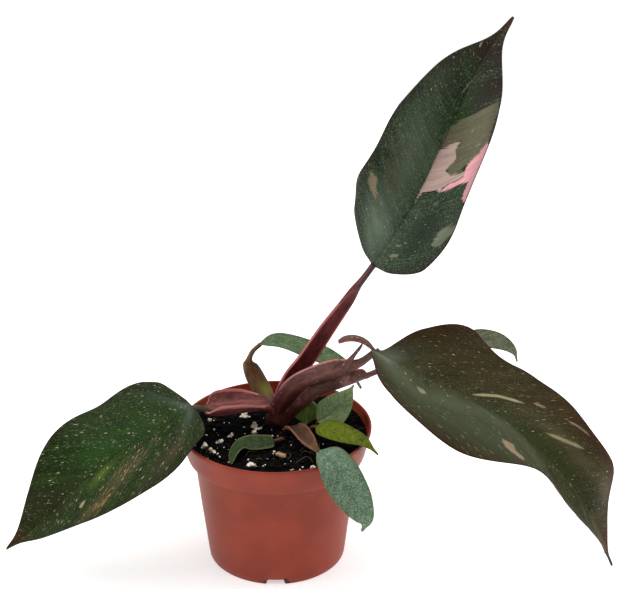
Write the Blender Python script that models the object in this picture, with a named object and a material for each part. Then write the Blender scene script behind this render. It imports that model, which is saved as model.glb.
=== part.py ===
"""Potted philodendron: a 120 mm nursery pot, potting mix, roots, stem, leaf stalks and leaves.

Metres, +Z up. The origin is the middle of the pot's underside, where it stands, and +X is the
side towards which the largest leaf reaches.
"""
import math

import bmesh
import bpy
import numpy as np
from mathutils import Vector

for old in list(bpy.data.objects):
    bpy.data.objects.remove(old, do_unlink=True)

# ---- driving dimensions (metres) ------------------------------------------------------------
GAP = 0.0003                 # clearance between pieces that touch
RIM_R = 0.060                # pot: outer radius of the rim
POT_H = 0.090                # pot: height
BASE_R = 0.725 * RIM_R       # pot: outer radius at the foot
BODY_TOP_R = RIM_R - 0.0085  # pot: outer radius just under the rim band
BAND_H = 0.019               # pot: height of the rim band
BAND_FLARE = 0.0035          # pot: how much narrower the band is at its lower edge
WALL = 0.0016                # pot: wall and floor thickness
FLOOR_Z = 0.004              # pot: height of the floor's underside
BOSS_R = 0.010               # pot: radius of the cup in the middle of the floor
FREEBOARD = 0.0055           # from the rim down to the potting mix
STEM_R = 0.0068              # stem: radius where it leaves the mix
STEM_AT = (0.000, 0.225 * RIM_R)    # stem: position in the pot
STEM_RISE = 0.010            # stem: how far its top stands out of the mix
LEAF_T = 0.0012              # thickness of the three large blades
SMALL_T = 0.0009             # thickness of the small blades
LEAF_SCALE = 1.0             # widths of the large blades relative to the shapes below
GRAIN_R = 0.0019             # mean radius of a perlite grain

SOIL_Z = POT_H - FREEBOARD
WIDE, HIGH = RIM_R / 0.060, POT_H / 0.090    # the plant grows with its pot
STEM_TOP = SOIL_Z + STEM_RISE * HIGH
STEM_GROWTH = STEM_R - 0.0068 * WIDE


# ---- helpers --------------------------------------------------------------------------------
def curve(points, t):
    """Smooth curve through the points (Catmull-Rom), t from 0 to 1 with equal shares per span."""
    p = np.asarray(points, float)
    n = len(p) - 1
    ext = np.concatenate([[2 * p[0] - p[1]], p, [2 * p[-1] - p[-2]]])
    x = np.clip(np.asarray(t, float), 0, 1) * n
    i = np.minimum(x.astype(int), n - 1)
    f = x - i
    if p.ndim > 1:
        f = f[..., None]
    a, b, c, d = ext[i], ext[i + 1], ext[i + 2], ext[i + 3]
    return 0.5 * (2 * b + (c - a) * f + (2 * a - 5 * b + 4 * c - d) * f**2
                  + (3 * b - a - 3 * c + d) * f**3)


def unit(v):
    return v / np.linalg.norm(v, axis=-1, keepdims=True)


def frames(path, face, s):
    """Point, tangent, face normal and sideways direction along a path."""
    h = 1e-3
    tangent = unit(curve(path, np.minimum(s + h, 1)) - curve(path, np.maximum(s - h, 0)))
    normal = curve(face, s)
    normal = unit(normal - (normal * tangent).sum(-1, keepdims=True) * tangent)
    return curve(path, s), tangent, normal, np.cross(normal, tangent)


def material(name, rgb, roughness):
    found = bpy.data.materials.get(name)
    if found:
        return found
    found = bpy.data.materials.new(name)
    found.use_nodes = True
    shader = found.node_tree.nodes["Principled BSDF"]
    shader.inputs["Base Color"].default_value = (*rgb, 1)
    shader.inputs["Roughness"].default_value = roughness
    shader.inputs["Metallic"].default_value = 0
    return found


def solid(name, verts, faces, look, smooth=True):
    """One closed body with its faces turned outwards."""
    mesh = bpy.data.meshes.new(name)
    mesh.from_pydata([tuple(v) for v in verts], [], [tuple(f) for f in faces])
    bm = bmesh.new()
    bm.from_mesh(mesh)
    bmesh.ops.recalc_face_normals(bm, faces=bm.faces)
    if bm.calc_volume(signed=True) < 0:
        bmesh.ops.reverse_faces(bm, faces=bm.faces)
    bm.to_mesh(mesh)
    bm.free()
    mesh.polygons.foreach_set("use_smooth", [smooth] * len(mesh.polygons))
    mesh.materials.append(material(*look))
    obj = bpy.data.objects.new(name, mesh)
    bpy.context.scene.collection.objects.link(obj)
    return obj


def lathe(name, profile, segments, look):
    """Solid of revolution about +Z; the profile starts and ends on the axis."""
    inner = profile[1:-1]
    verts = [(0, 0, profile[0][1]), (0, 0, profile[-1][1])]
    faces = []
    for r, z in inner:
        for k in range(segments):
            a = 2 * math.pi * k / segments
            verts.append((r * math.cos(a), r * math.sin(a), z))
    for i in range(len(inner) - 1):
        for k in range(segments):
            a, b = 2 + i * segments, 2 + (i + 1) * segments
            n = (k + 1) % segments
            faces.append((a + k, a + n, b + n, b + k))
    last = 2 + (len(inner) - 1) * segments
    for k in range(segments):
        n = (k + 1) % segments
        faces.append((0, 2 + n, 2 + k))
        faces.append((1, last + k, last + n))
    return solid(name, verts, faces, look)


def cut(target, cutter):
    """Takes the cutter's shape out of the target."""
    cutter.hide_render = True
    cutter.display_type = "WIRE"
    mod = target.modifiers.new("cut_" + cutter.name, "BOOLEAN")
    mod.operation = "DIFFERENCE"
    mod.solver = "EXACT"
    mod.object = cutter


def stalk(name, path, face, half, thick, bend, look, rings=14, around=14, grow=0.0):
    """A stalk whose round section spreads into a channel-shaped sheath.

    half and thick are the half axes of the section (m) and bend is how far each wing is
    wrapped round (radians), all given at equal steps along the path.
    """
    s = np.linspace(0, 1, rings)
    base, _, up, side = frames(path, face, s)
    a, b = curve(half, s) + grow, curve(thick, s) + grow
    k = curve(bend, s) / a
    phi = np.linspace(0, 2 * np.pi, around, endpoint=False)
    p, q = a[:, None] * np.cos(phi), b[:, None] * np.sin(phi)
    kp = k[:, None] * p
    x = p * np.sinc(kp / np.pi) - q * np.sin(kp)
    y = q * np.cos(kp) + p * np.sin(kp / 2) * np.sinc(kp / 2 / np.pi)
    ring = base[:, None] + x[..., None] * side[:, None] + y[..., None] * up[:, None]
    verts = list(ring.reshape(-1, 3)) + [base[0], base[-1]]
    faces = []
    for i in range(rings - 1):
        for j in range(around):
            n = (j + 1) % around
            faces.append((i * around + j, i * around + n, (i + 1) * around + n,
                          (i + 1) * around + j))
    first, last, end = rings * around, rings * around + 1, (rings - 1) * around
    for j in range(around):
        n = (j + 1) % around
        faces.append((first, n, j))
        faces.append((last, end + j, end + n))
    return solid(name, verts, faces, look)


def blade(name, midrib, face, left, right, fold, curl, thickness, look, rows=21, cols=9):
    """A leaf blade: margins given as (station along the midrib, width) in leaf lengths.

    fold is the angle of each half to the face (degrees, stations from base to tip) and curl
    is how far the half bends up by its margin; each is a pair (left, right).
    """
    t = np.linspace(0, 1, rows)
    v = np.linspace(-1, 1, cols)
    length = np.linalg.norm(np.diff(curve(midrib, np.linspace(0, 1, 60)), axis=0), axis=1).sum()
    points = np.zeros((rows, cols, 3))
    for j, across in enumerate(v):
        sign, reach = (1, 0) if across >= 0 else (-1, 1)
        margin = curve((left, right)[reach], t)
        along = t**1.15
        s = np.clip(along + (margin[:, 0] - along) * abs(across)**1.6, 0, 1)
        w = margin[:, 1] * abs(across) * length
        base, _, up, side = frames(midrib, face, s)
        f = np.radians(curve(fold[reach], s))
        half = np.radians(curve(curl[reach], s)) / (0.28 * length) * w / 2
        sideways = w * np.cos(f + half) * np.sinc(half / np.pi)
        upwards = w * np.sin(f + half) * np.sinc(half / np.pi)
        points[:, j] = base + sign * sideways[:, None] * side + upwards[:, None] * up
    local = unit(np.cross(np.gradient(points, axis=1), np.gradient(points, axis=0)))
    middle = frames(midrib, face, t**1.15)[2][:, None]
    local *= np.sign((local * middle).sum(-1, keepdims=True))
    width = (curve(left, t)[:, 1] + curve(right, t)[:, 1]) / 2 * length
    share = np.clip((width - 0.0015) / 0.006, 0, 1)[:, None, None]
    lift = unit(local * share + middle * (1 - share)) * thickness / 2
    verts = np.concatenate([(points + lift).reshape(-1, 3), (points - lift).reshape(-1, 3)])
    under = rows * cols
    faces = []
    for i in range(rows - 1):
        for j in range(cols - 1):
            q = (i * cols + j, i * cols + j + 1, (i + 1) * cols + j + 1, (i + 1) * cols + j)
            faces.append(q)
            faces.append(tuple(k + under for k in reversed(q)))
    edge = ([(0, j) for j in range(cols)] + [(i, cols - 1) for i in range(1, rows)]
            + [(rows - 1, j) for j in range(cols - 2, -1, -1)]
            + [(i, 0) for i in range(rows - 2, 0, -1)])
    ids = [i * cols + j for i, j in edge]
    for a, b in zip(ids, ids[1:] + ids[:1]):
        faces.append((b, a, a + under, b + under))
    return solid(name, verts, faces, look)


def mm(points, foot=False):
    """Points given in millimetres in a 120 x 90 mm pot, its mix 84.5 mm up, as metres here.

    foot moves the first point away from the stem as far as the stem is thicker.
    """
    out = [(x / 1000 * WIDE, y / 1000 * WIDE, SOIL_Z + (z - 84.5) / 1000 * HIGH)
           for x, y, z in points]
    if foot:
        x, y, z = out[0]
        away = math.atan2(y - STEM_AT[1], x - STEM_AT[0])
        out[0] = (x + STEM_GROWTH * math.cos(away), y + STEM_GROWTH * math.sin(away), z)
    return out


TERRACOTTA = ("terracotta_plastic", (0.62, 0.19, 0.10), 0.5)
MIX = ("potting_mix", (0.018, 0.014, 0.012), 0.95)
PERLITE = ("perlite", (0.62, 0.55, 0.42), 0.9)
BARK = ("bark", (0.30, 0.18, 0.09), 0.9)
ROOT = ("root", (0.42, 0.29, 0.16), 0.8)
STEM = ("stem", (0.055, 0.016, 0.024), 0.45)
STALK = ("leaf_stalk", (0.16, 0.045, 0.055), 0.45)
BROWN = ("brown_stalk", (0.15, 0.085, 0.04), 0.55)
GREEN = ("leaf_green", (0.045, 0.07, 0.035), 0.4)
FRESH = ("leaf_fresh_green", (0.09, 0.17, 0.06), 0.45)
YELLOW = ("leaf_yellow_green", (0.36, 0.42, 0.05), 0.45)

# ---- pot ------------------------------------------------------------------------------------
# One moulded shell: foot ring, raised floor with a cup in its middle, tapered wall and a
# wider rim band. The outline runs up the outside from the axis and back down the inside.
band_z = POT_H - BAND_H
low_r = RIM_R - BAND_FLARE
pot = lathe("pot", [
    (0, 0), (BOSS_R, 0), (BOSS_R + 0.002, FLOOR_Z), (BASE_R - WALL - 0.0006, FLOOR_Z),
    (BASE_R - WALL, 0), (BASE_R, 0), (BODY_TOP_R, band_z - 0.0015), (BODY_TOP_R + 0.0012, band_z),
    (low_r - 0.0015, band_z + 0.0005), (low_r, band_z + 0.003), (RIM_R, POT_H - 0.0004),
    (RIM_R - 0.0004, POT_H), (RIM_R - WALL + 0.0004, POT_H), (RIM_R - WALL, POT_H - 0.0004),
    (low_r - WALL, band_z + 0.0035), (BODY_TOP_R - WALL + 0.0012, band_z + 0.0022),
    (BODY_TOP_R - WALL, band_z - 0.001), (BASE_R - WALL, FLOOR_Z + WALL + 0.001),
    (BASE_R - WALL - 0.001, FLOOR_Z + WALL), (BOSS_R + 0.0008, FLOOR_Z + WALL),
    (BOSS_R - 0.0012, WALL), (0, WALL)], 48, TERRACOTTA)


def block(name, centre, size, angle):
    c, s = math.cos(angle), math.sin(angle)
    verts = []
    for x in (-1, 1):
        for y in (-1, 1):
            for z in (-1, 1):
                u, w = centre[0] + x * size[0] / 2, y * size[1] / 2
                verts.append((c * u - s * w, s * u + c * w, centre[1] + z * size[2] / 2))
    faces = [(0, 1, 3, 2), (4, 6, 7, 5), (0, 4, 5, 1), (2, 3, 7, 6), (0, 2, 6, 4), (1, 5, 7, 3)]
    return solid(name, verts, faces, TERRACOTTA, smooth=False)


NOTCHES = 4
for k in range(NOTCHES):
    turn = math.radians(-90 + 360 * k / NOTCHES)
    cut(pot, block(f"notch_{k}", (BASE_R - 0.001, 0.0011), (0.008, 0.011, 0.0042), turn))
DRAINS = 6
for k in range(DRAINS):
    turn = 2 * math.pi * (k + 0.5) / DRAINS
    ring = [(0.027 + 0.004 * math.cos(a), 0.004 * math.sin(a))
            for a in np.linspace(0, 2 * math.pi, 16, endpoint=False) + 0.13]
    verts = [(x * math.cos(turn) - y * math.sin(turn), x * math.sin(turn) + y * math.cos(turn), z)
             for z in (FLOOR_Z - 0.002, FLOOR_Z + WALL + 0.002) for x, y in ring]
    faces = [tuple(range(16)), tuple(range(31, 15, -1))]
    faces += [(i, i + 16, (i + 1) % 16 + 16, (i + 1) % 16) for i in range(16)]
    cut(pot, solid(f"drain_{k}", verts, faces, TERRACOTTA, smooth=False))

# ---- stem and roots -------------------------------------------------------------------------
# The short stem stands in the mix; cord-like roots spread from its foot.
STEM_FOOT = SOIL_Z - 0.0245 * HIGH
stem_line = [(*STEM_AT, STEM_FOOT), (*STEM_AT, SOIL_Z - 0.0125 * HIGH), (*STEM_AT, SOIL_Z),
             (*STEM_AT, STEM_TOP)]
stem_r = [STEM_R * 0.8, STEM_R * 0.95, STEM_R, STEM_R * 1.05]
flat = [0, 0, 0, 0]
front = [(0, -1, 0)] * 2
stalk("main_stem", stem_line, front, stem_r, stem_r, flat, STEM, rings=9, around=20)

ROOTS = 5
root_lines = []
for k in range(ROOTS):
    a = math.radians(35 + 360 * k / ROOTS)
    out, down = (0.030 + 0.003 * (k % 3)) * WIDE, (0.034 + 0.004 * (k % 2)) * HIGH
    x, y = STEM_AT
    start = STEM_R * 0.8 * 0.55
    root_lines.append([(x + (start + out * f) * math.cos(a + 0.5 * f),
                        y * (1 - 0.6 * f) + (start + out * f) * math.sin(a + 0.5 * f),
                        STEM_FOOT - GAP - 0.0012 - down * f**1.2) for f in (0, 0.35, 0.7, 1)])
root_r = [0.0015, 0.0014, 0.0011, 0.0007]
for k, line in enumerate(root_lines, 1):
    stalk(f"root_{k}", line, [(0, 0, 1)] * 2, root_r, root_r, flat, ROOT, rings=8, around=8)

# ---- potting mix ----------------------------------------------------------------------------
# It fills the pot to just under the rim and has room for the stem and the roots.
g = GAP
mix_top_r = RIM_R - WALL - g - BAND_FLARE * FREEBOARD / (BAND_H - 0.003)
soil = lathe("potting_mix", [
    (0, WALL + g), (BOSS_R - 0.0012 - g, WALL + g), (BOSS_R + 0.0008 - g, FLOOR_Z + WALL + g),
    (BASE_R - WALL - 0.001 - g, FLOOR_Z + WALL + g),
    (BASE_R - WALL - g, FLOOR_Z + WALL + 0.001 + g), (BODY_TOP_R - WALL - g, band_z - 0.001),
    (BODY_TOP_R - WALL + 0.0012 - g, band_z + 0.0022 + g), (low_r - WALL - g, band_z + 0.0035 + g),
    (mix_top_r, SOIL_Z - 0.0003), (mix_top_r - 0.0006, SOIL_Z), (0, SOIL_Z)], 48, MIX)
bore_line = [(*STEM_AT, STEM_FOOT - 0.0028), *stem_line[1:]]
cut(soil, stalk("stem_room", bore_line, front, stem_r, stem_r, flat, MIX, rings=9, around=20,
                grow=GAP))
for k, line in enumerate(root_lines, 1):
    deeper = np.array(line[-1]) + unit(np.array(line[-1]) - np.array(line[-2])) * GAP
    first = np.array(line[0]) - unit(np.array(line[1]) - np.array(line[0])) * GAP
    room = [tuple(first), line[1], line[2], tuple(deeper)]
    cut(soil, stalk(f"root_room_{k}", room, [(0, 0, 1)] * 2, root_r, root_r, flat, MIX,
                    rings=8, around=8, grow=GAP * 1.3))

# ---- leaf stalks ----------------------------------------------------------------------------
# Each leaf's stalk widens at its foot into a sheath that wraps round the stem.
LOW = 0.0022
stalk("left_stalk", mm([(-5.7, 10.4, 97.6), (-19, 5, 98.5), (-33, 1.5, 98), (-43, -1, 100.5),
                        (-49.9, -2, 102.25)], foot=True),
      [(0, -0.15, 1)] * 2, [0.0026, 0.013, 0.0155, 0.008, LOW], [0.0026, 0.001, 0.0009, 0.0013, LOW],
      [0, 1.4, 1.7, 1.5, 0], STALK, rings=17, around=18)
stalk("top_stalk", mm([(2.5, 15.5, 95.6), (8.5, 16, 116), (18, 16, 130), (31, 15, 151),
                       (43.5, 13, 169.5), (52.5, 12.2, 182), (59.8, 12, 192.6)], foot=True),
      [(0.35, -0.9, -0.2)] * 2, [0.0026, 0.008, 0.0082, 0.007, 0.0046, 0.0024, LOW],
      [0.0026, 0.0011, 0.0009, 0.0009, 0.0011, 0.0021, LOW], [0, 1.25, 1.35, 1.3, 1.1, 0.2, 0],
      STALK, rings=19, around=16)
stalk("right_stalk", mm([(2.8, 8.5, 96.3), (14, -1, 116.5), (26.5, -4, 123.8), (38.5, -5, 127.3),
                         (47.5, -5.5, 130.7), (55, -7, 136), (60.8, -9.7, 145.25)], foot=True),
      [(-0.2, 0.85, 0.5)] * 2, [0.0026, 0.007, 0.0085, 0.0085, 0.0068, 0.0032, LOW],
      [0.0026, 0.0011, 0.0009, 0.0009, 0.0011, 0.0018, LOW], [0, 1.2, 1.5, 1.5, 1.3, 0.6, 0],
      STALK, rings=19, around=16)
stalk("back_right_stalk", mm([(8.8, 11.9, 91), (18.5, 3.5, 103), (27, -1, 110.2), (38.5, -1, 114),
                              (48, 0, 117.3), (56, 2, 120.3), (65, 5.5, 124.5), (84, 9, 131),
                              (103, 12, 135.5)], foot=True),
      [(-0.2, 0.85, 0.5)] * 2, [0.0022, 0.0046, 0.0052, 0.0054, 0.0054, 0.0042, 0.002, 0.0018, 0.0016],
      [0.0022, 0.0011, 0.0009, 0.0009, 0.0009, 0.0012, 0.002, 0.0018, 0.0016],
      [0, 1.2, 1.5, 1.5, 1.5, 1.2, 0, 0, 0], STALK, rings=23, around=14)
stalk("back_left_stalk", mm([(-4.9, 20.8, 93), (-13, 29, 102), (-16.5, 30, 111), (-17.5, 31, 119.5),
                             (-15, 32, 125), (-10.8, 32.2, 129.55)], foot=True),
      [(0.1, 1, 0.1)] * 2, [0.0022, 0.0085, 0.0078, 0.0045, 0.0018, 0.0016],
      [0.0022, 0.001, 0.0009, 0.0009, 0.0016, 0.0016], [0, 1.25, 1.3, 1.1, 0.2, 0], BROWN,
      rings=16, around=14)
stalk("front_stalk", mm([(6.2, 8.4, 88.6), (12.5, -9, 91), (19, -27, 93), (26, -43, 95)], foot=True),
      [(0.1, -0.2, 1)] * 2, [0.0016, 0.0064, 0.006, 0.0013], [0.0016, 0.0009, 0.0009, 0.0012],
      [0, 1.2, 1.1, 0], BROWN, rings=12, around=12)
stalk("yellow_leaf_stalk", mm([(21, -1, 85.62), (22.8, -4.5, 90), (25.3, -10.6, 94)]),
      [(0, -0.3, 1)] * 2, [0.0013, 0.0013, 0.0011], [0.0013, 0.0013, 0.0011], [0, 0, 0], BROWN,
      rings=7, around=8)
stalk("round_leaf_stalk", mm([(25.6, 5, 85.0), (25.8, 4.8, 87.0), (26.15, 4.6, 88.95)]),
      [(0, -1, 0)] * 2, [0.0013, 0.0012, 0.0011], [0.0013, 0.0012, 0.0011], [0, 0, 0], BROWN,
      rings=5, around=8)
stalk("rolled_leaf", mm([(18, 10, 85.3), (18.6, 11.5, 90.5), (19.8, 13.5, 96), (20.8, 14.6, 100)]),
      [(0.5, -0.8, 0)] * 2, [0.0018, 0.0085, 0.0075, 0.0015], [0.0018, 0.0008, 0.0008, 0.0012],
      [0, 1.9, 2.1, 0], FRESH, rings=10, around=14)

# ---- leaf blades ----------------------------------------------------------------------------
# Margins are (station, half width) in leaf lengths from base to tip.
S = LEAF_SCALE
top_margin = [(0, 0.012), (0.022, 0.07 * S), (0.09, 0.147 * S), (0.16, 0.183 * S),
              (0.34, 0.225 * S), (0.55, 0.217 * S), (0.75, 0.134 * S), (0.90, 0.03 * S),
              (1, 0.004)]
blade("top_leaf", mm([(60, 12, 193), (78, 8, 224), (92, 4, 257), (104, 4, 286), (118, 8, 317),
                      (138, 20, 344)]),
      [(-0.1, -1, 0.25), (-0.15, -1, 0.3), (-0.3, -1, 0.2)], top_margin, top_margin,
      ([-17, 30, -3], [24, 44, 3]), ([2, -12, 14, 0, 5, 0], [0, 0, 8, 10, 0, 0]),
      LEAF_T, GREEN, rows=23, cols=11)
left_margin = [(0, 0.012), (0.012, 0.098 * S), (0.066, 0.229 * S), (0.16, 0.249 * S),
               (0.34, 0.293 * S), (0.55, 0.246 * S), (0.75, 0.129 * S), (0.90, 0.038 * S),
               (1, 0.004)]
blade("left_leaf", mm([(-50.8, -2.1, 102.6), (-68, -10, 97), (-97, -20, 80), (-124, -25, 58),
                       (-149, -28, 33), (-169, -30, 17)]),
      [(-0.1, -0.3, 1), (-0.3, -0.5, 1), (-0.4, -0.5, 0.8)], left_margin, left_margin,
      ([25, 10, 37], [-10, 19, 32]), ([0, -15, 0, 5, -4, 0], [-4, -3, -28, 14, 3, 0]),
      LEAF_T, GREEN, rows=23, cols=11)
stations = [0, 0.021, 0.066, 0.16, 0.34, 0.55, 0.75, 0.90, 1]
back_half = [0.010, 0.02, 0.130, 0.250, 0.245, 0.150, 0.133, 0.012, 0.004]
front_half = [0.010, 0.060, 0.112, 0.205, 0.295, 0.140, 0.133, 0.029, 0.004]
blade("right_leaf", mm([(61, -10, 146), (92, -38, 140), (125, -58, 132), (156, -68, 109),
                        (180, -70, 80), (195, -70, 53), (203, -70, 32)]),
      [(0.1, -0.3, 1), (0.1, -0.4, 1), (0.6, -0.5, 0.6)],
      [(s, w * S) for s, w in zip(stations, back_half)],
      [(s, w * S) for s, w in zip(stations, front_half)],
      ([36, -7, 2, 29, -8, -6], [39, 17, 53, 3, 28, 6]),
      ([38, -1, -21, 13, 12, 0], [0, 18, -56, 100, 33, 10]),
      LEAF_T, GREEN, rows=25, cols=11)


def ovate(width):
    """Margin of a small leaf: broadest near a third of its length, drawn out at the tip."""
    return [(0, 0.02), (0.03, 0.35 * width), (0.09, 0.68 * width), (0.18, 0.92 * width),
            (0.36, width), (0.57, 0.82 * width), (0.76, 0.46 * width), (0.90, 0.15 * width),
            (1, 0.012)]


even = ([8, 8, 8], [8, 8, 8])
plain = ([0, 0, 0], [0, 0, 0])
blade("back_left_leaf", mm([(-10.3, 32.2, 130), (2.3, 34, 130.2), (18, 34, 125),
                            (34, 32, 119), (46, 30, 112.5), (54, 27, 101)]),
      [(0, 0.1, 1), (0.1, -0.1, 1), (0.5, -0.4, 0.8)], ovate(0.165), ovate(0.165), even, plain,
      SMALL_T, GREEN, rows=15, cols=9)
blade("back_right_leaf", mm([(103.5, 12, 135.7), (116, 13, 139.5), (128, 12.5, 142.5),
                             (139, 9.5, 142), (147, 7, 137.5), (149.5, 5.5, 131)]),
      [(0, -0.4, 1), (0.1, -0.5, 1), (0.7, -0.5, 0.4)], ovate(0.19), ovate(0.19), even, plain,
      SMALL_T, GREEN, rows=15, cols=9)
blade("front_leaf", mm([(26.2, -43.3, 95.05), (33, -55, 95), (39.5, -64, 85), (46.5, -68, 74),
                        (52, -68, 62.5), (53, -66, 54)]),
      [(0.1, -0.6, 0.8), (0.2, -1, 0.5), (0.2, -1, 0.4)], ovate(0.15), ovate(0.15),
      ([15, 12, 8], [15, 12, 8]), plain, SMALL_T, FRESH, rows=15, cols=9)
blade("yellow_leaf", mm([(25.5, -11.2, 94.2), (34, -17.5, 94.8), (44, -23.5, 94.3),
                         (54.5, -28, 92.8), (63, -30.5, 85.5)]),
      [(0, -0.4, 1), (0, -0.25, 1), (0.2, -0.5, 1)], ovate(0.19), ovate(0.19),
      ([14, 10, 5], [14, 10, 5]), plain, SMALL_T, YELLOW, rows=15, cols=9)
blade("round_leaf", mm([(26.3, 4.4, 89.8), (34.5, 6.5, 94), (43, 9.5, 102.5), (49, 13, 111)]),
      [(-0.35, -1, 0.45)] * 2, ovate(0.31), ovate(0.31), even, plain, SMALL_T, FRESH,
      rows=13, cols=9)
blade("curled_leaf", mm([(-1, -18, 88), (-9, -21, 89), (-17, -23, 89.6), (-22, -27, 89.6),
                         (-25, -34, 88.2), (-26, -43, 86)]),
      [(0, -0.7, 1), (-0.4, -0.6, 1), (-0.5, -0.2, 1)], ovate(0.12), ovate(0.12),
      ([0, 0, 0], [0, 0, 0]), plain, SMALL_T, FRESH, rows=15, cols=7)
stalk("curled_leaf_stalk", mm([(4.6, -10, 85.75), (3.4, -14, 87.2), (-0.5, -17.7, 87.8)]),
      [(0, 0, 1)] * 2, [0.0011, 0.0011, 0.0009], [0.0011, 0.0011, 0.0009], [0, 0, 0], BROWN,
      rings=6, around=8)


# ---- perlite and bark on top of the mix -----------------------------------------------------
def grain(name, at, size, seed, look):
    """An irregular pebble resting on the mix."""
    rng = np.random.default_rng(seed)
    bm = bmesh.new()
    bmesh.ops.create_icosphere(bm, subdivisions=1, radius=1)
    for v in bm.verts:
        v.co = Vector([c * k * (1 + rng.uniform(-0.2, 0.2)) for c, k in zip(v.co, size)])
    low = min(v.co.z for v in bm.verts)
    verts = [(v.co.x + at[0], v.co.y + at[1], v.co.z - low + SOIL_Z + GAP) for v in bm.verts]
    faces = [[v.index for v in f.verts] for f in bm.faces]
    bm.free()
    solid(name, verts, faces, look, smooth=False)


R = GRAIN_R
GRAINS = [(-21, 18, 1.1), (-14, 6.5, 1.0), (-12.5, -1.5, 1.15), (-28, -8, 0.9), (-34, -14.5, 0.8),
          (-44, -20, 1.0), (-38.5, -26, 0.9), (-43, 14, 0.75), (-14, -43, 1.1), (24, -46, 0.9)]
for k, (x, y, scale) in enumerate(GRAINS, 1):
    grain(f"perlite_{k}", (x / 1000 * WIDE, y / 1000 * WIDE),
          (R * scale * 1.2, R * scale, R * scale * 0.8), k, PERLITE)
grain("bark_chip", (0.004 * WIDE, -0.033 * WIDE), (R * 1.9, R * 1.0, R * 0.7), 40, BARK)
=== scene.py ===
"""Looks of the potted philodendron: pot, potting mix, stem, sheathed stalks and leaves."""
import math

import bmesh
import bpy
import numpy as np
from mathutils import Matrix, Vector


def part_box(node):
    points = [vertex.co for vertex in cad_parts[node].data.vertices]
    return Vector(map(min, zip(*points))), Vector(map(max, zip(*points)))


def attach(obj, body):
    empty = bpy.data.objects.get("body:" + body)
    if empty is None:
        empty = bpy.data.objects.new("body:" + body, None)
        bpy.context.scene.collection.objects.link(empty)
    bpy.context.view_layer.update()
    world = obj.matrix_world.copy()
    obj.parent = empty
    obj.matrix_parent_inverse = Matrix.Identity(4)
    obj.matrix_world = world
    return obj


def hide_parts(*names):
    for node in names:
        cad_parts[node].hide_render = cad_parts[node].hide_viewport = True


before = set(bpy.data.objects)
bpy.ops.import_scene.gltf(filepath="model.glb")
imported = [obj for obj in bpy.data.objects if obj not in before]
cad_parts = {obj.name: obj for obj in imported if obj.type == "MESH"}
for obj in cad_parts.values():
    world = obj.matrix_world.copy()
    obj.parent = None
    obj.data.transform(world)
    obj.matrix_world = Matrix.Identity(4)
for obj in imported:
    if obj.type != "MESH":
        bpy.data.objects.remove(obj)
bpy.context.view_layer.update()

# ---- studio ---------------------------------------------------------------------------------
# A white table in front of a white wall, under large soft lights, seen from a little above
# through a long lens.
bpy.ops.mesh.primitive_plane_add(size=1.9)
table = bpy.context.object
table.name = "table"
white = bpy.data.materials.new("white_table")
white.use_nodes = True
coat = white.node_tree.nodes["Principled BSDF"].inputs
coat["Base Color"].default_value = (0.9, 0.9, 0.9, 1)
coat["Roughness"].default_value = 0.9
coat["Emission Color"].default_value = (1, 1, 1, 1)
coat["Emission Strength"].default_value = 0.5
table.data.materials.append(white)

ROOM_LIGHT, BRIGHTER_WHEN_SEEN = 0.40, 0.62
world = bpy.data.worlds.new("white_room")
world.use_nodes = True
room, sky = world.node_tree, world.node_tree.nodes["Background"]
seen = room.nodes.new("ShaderNodeLightPath")
level = room.nodes.new("ShaderNodeMath")
level.operation = "MULTIPLY_ADD"
level.inputs[1].default_value, level.inputs[2].default_value = BRIGHTER_WHEN_SEEN, ROOM_LIGHT
room.links.new(seen.outputs["Is Camera Ray"], level.inputs[0])
room.links.new(level.outputs[0], sky.inputs["Strength"])
sky.inputs["Color"].default_value = (1, 1, 1, 1)
bpy.context.scene.world = world
bpy.context.scene.view_settings.view_transform = "Standard"


def put(name, data):
    """An object with this data, linked into the scene."""
    obj = bpy.data.objects.new(name, data)
    bpy.context.scene.collection.objects.link(obj)
    return obj


def softbox(name, place, size, watts):
    """Square area light at a place, turned towards the middle of the plant."""
    lamp = put(name, bpy.data.lights.new(name, "AREA"))
    lamp.data.energy, lamp.data.size = watts, size
    lamp.location = place
    away = np.array(place) - MIDDLE
    lamp.rotation_euler = (math.atan2(math.hypot(away[0], away[1]), away[2]), 0,
                           math.atan2(away[0], -away[1]))


MIDDLE = (0, 0, 0.12)
softbox("overhead", (0.0, 0.2, 1.9), 2.2, 26)
softbox("left_window", (-1.6, -0.1, 0.9), 1.3, 15)
softbox("right_window", (1.6, 0.0, 0.8), 1.3, 16)

CAMERA_DOWN, FOCAL_MM, SENSOR_MM = 24.15, 90.97, 36
camera = put("camera", bpy.data.cameras.new("camera"))
camera.location = (0.0245, -0.8763, 0.5718)
camera.rotation_euler = (math.radians(90 - CAMERA_DOWN), 0, 0)
camera.data.sensor_width = SENSOR_MM
camera.data.lens = FOCAL_MM
bpy.context.scene.camera = camera

# ---- pot ------------------------------------------------------------------------------------
# A thin moulded nursery pot: tapered wall, wider rim band with a rounded lip, and a foot ring
# with four notches. Terracotta-coloured polypropylene with a faint flow mottle.
pot_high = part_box("pot")[1]
RIM_R, POT_H = pot_high[0], pot_high[2]
BASE_R, BODY_R, BAND_H, WALL, FLOOR = 0.0435, 0.0515, 0.019, 0.0016, 0.004
POT_TURNS = 384
NOTCH_H, NOTCH_HALF, FOOT_IN_R = 0.0034, 0.0055, 0.040
DRAINS, DRAIN_R, DRAIN_RING = 6, 0.004, 0.027


def srgb(red, green, blue):
    """A colour of 0 to 255 per channel as linear light with alpha 1."""
    c = np.array([red, green, blue]) / 255
    lin = np.where(c <= 0.04045, c / 12.92, ((c + 0.055) / 1.055) ** 2.4)
    return (*[float(x) for x in lin], 1.0)


def smoothstep(low, high, x):
    """0 below low, 1 above high, and a cubic ease between."""
    f = np.clip((x - low) / (high - low), 0, 1)
    return f * f * (3 - 2 * f)


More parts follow.
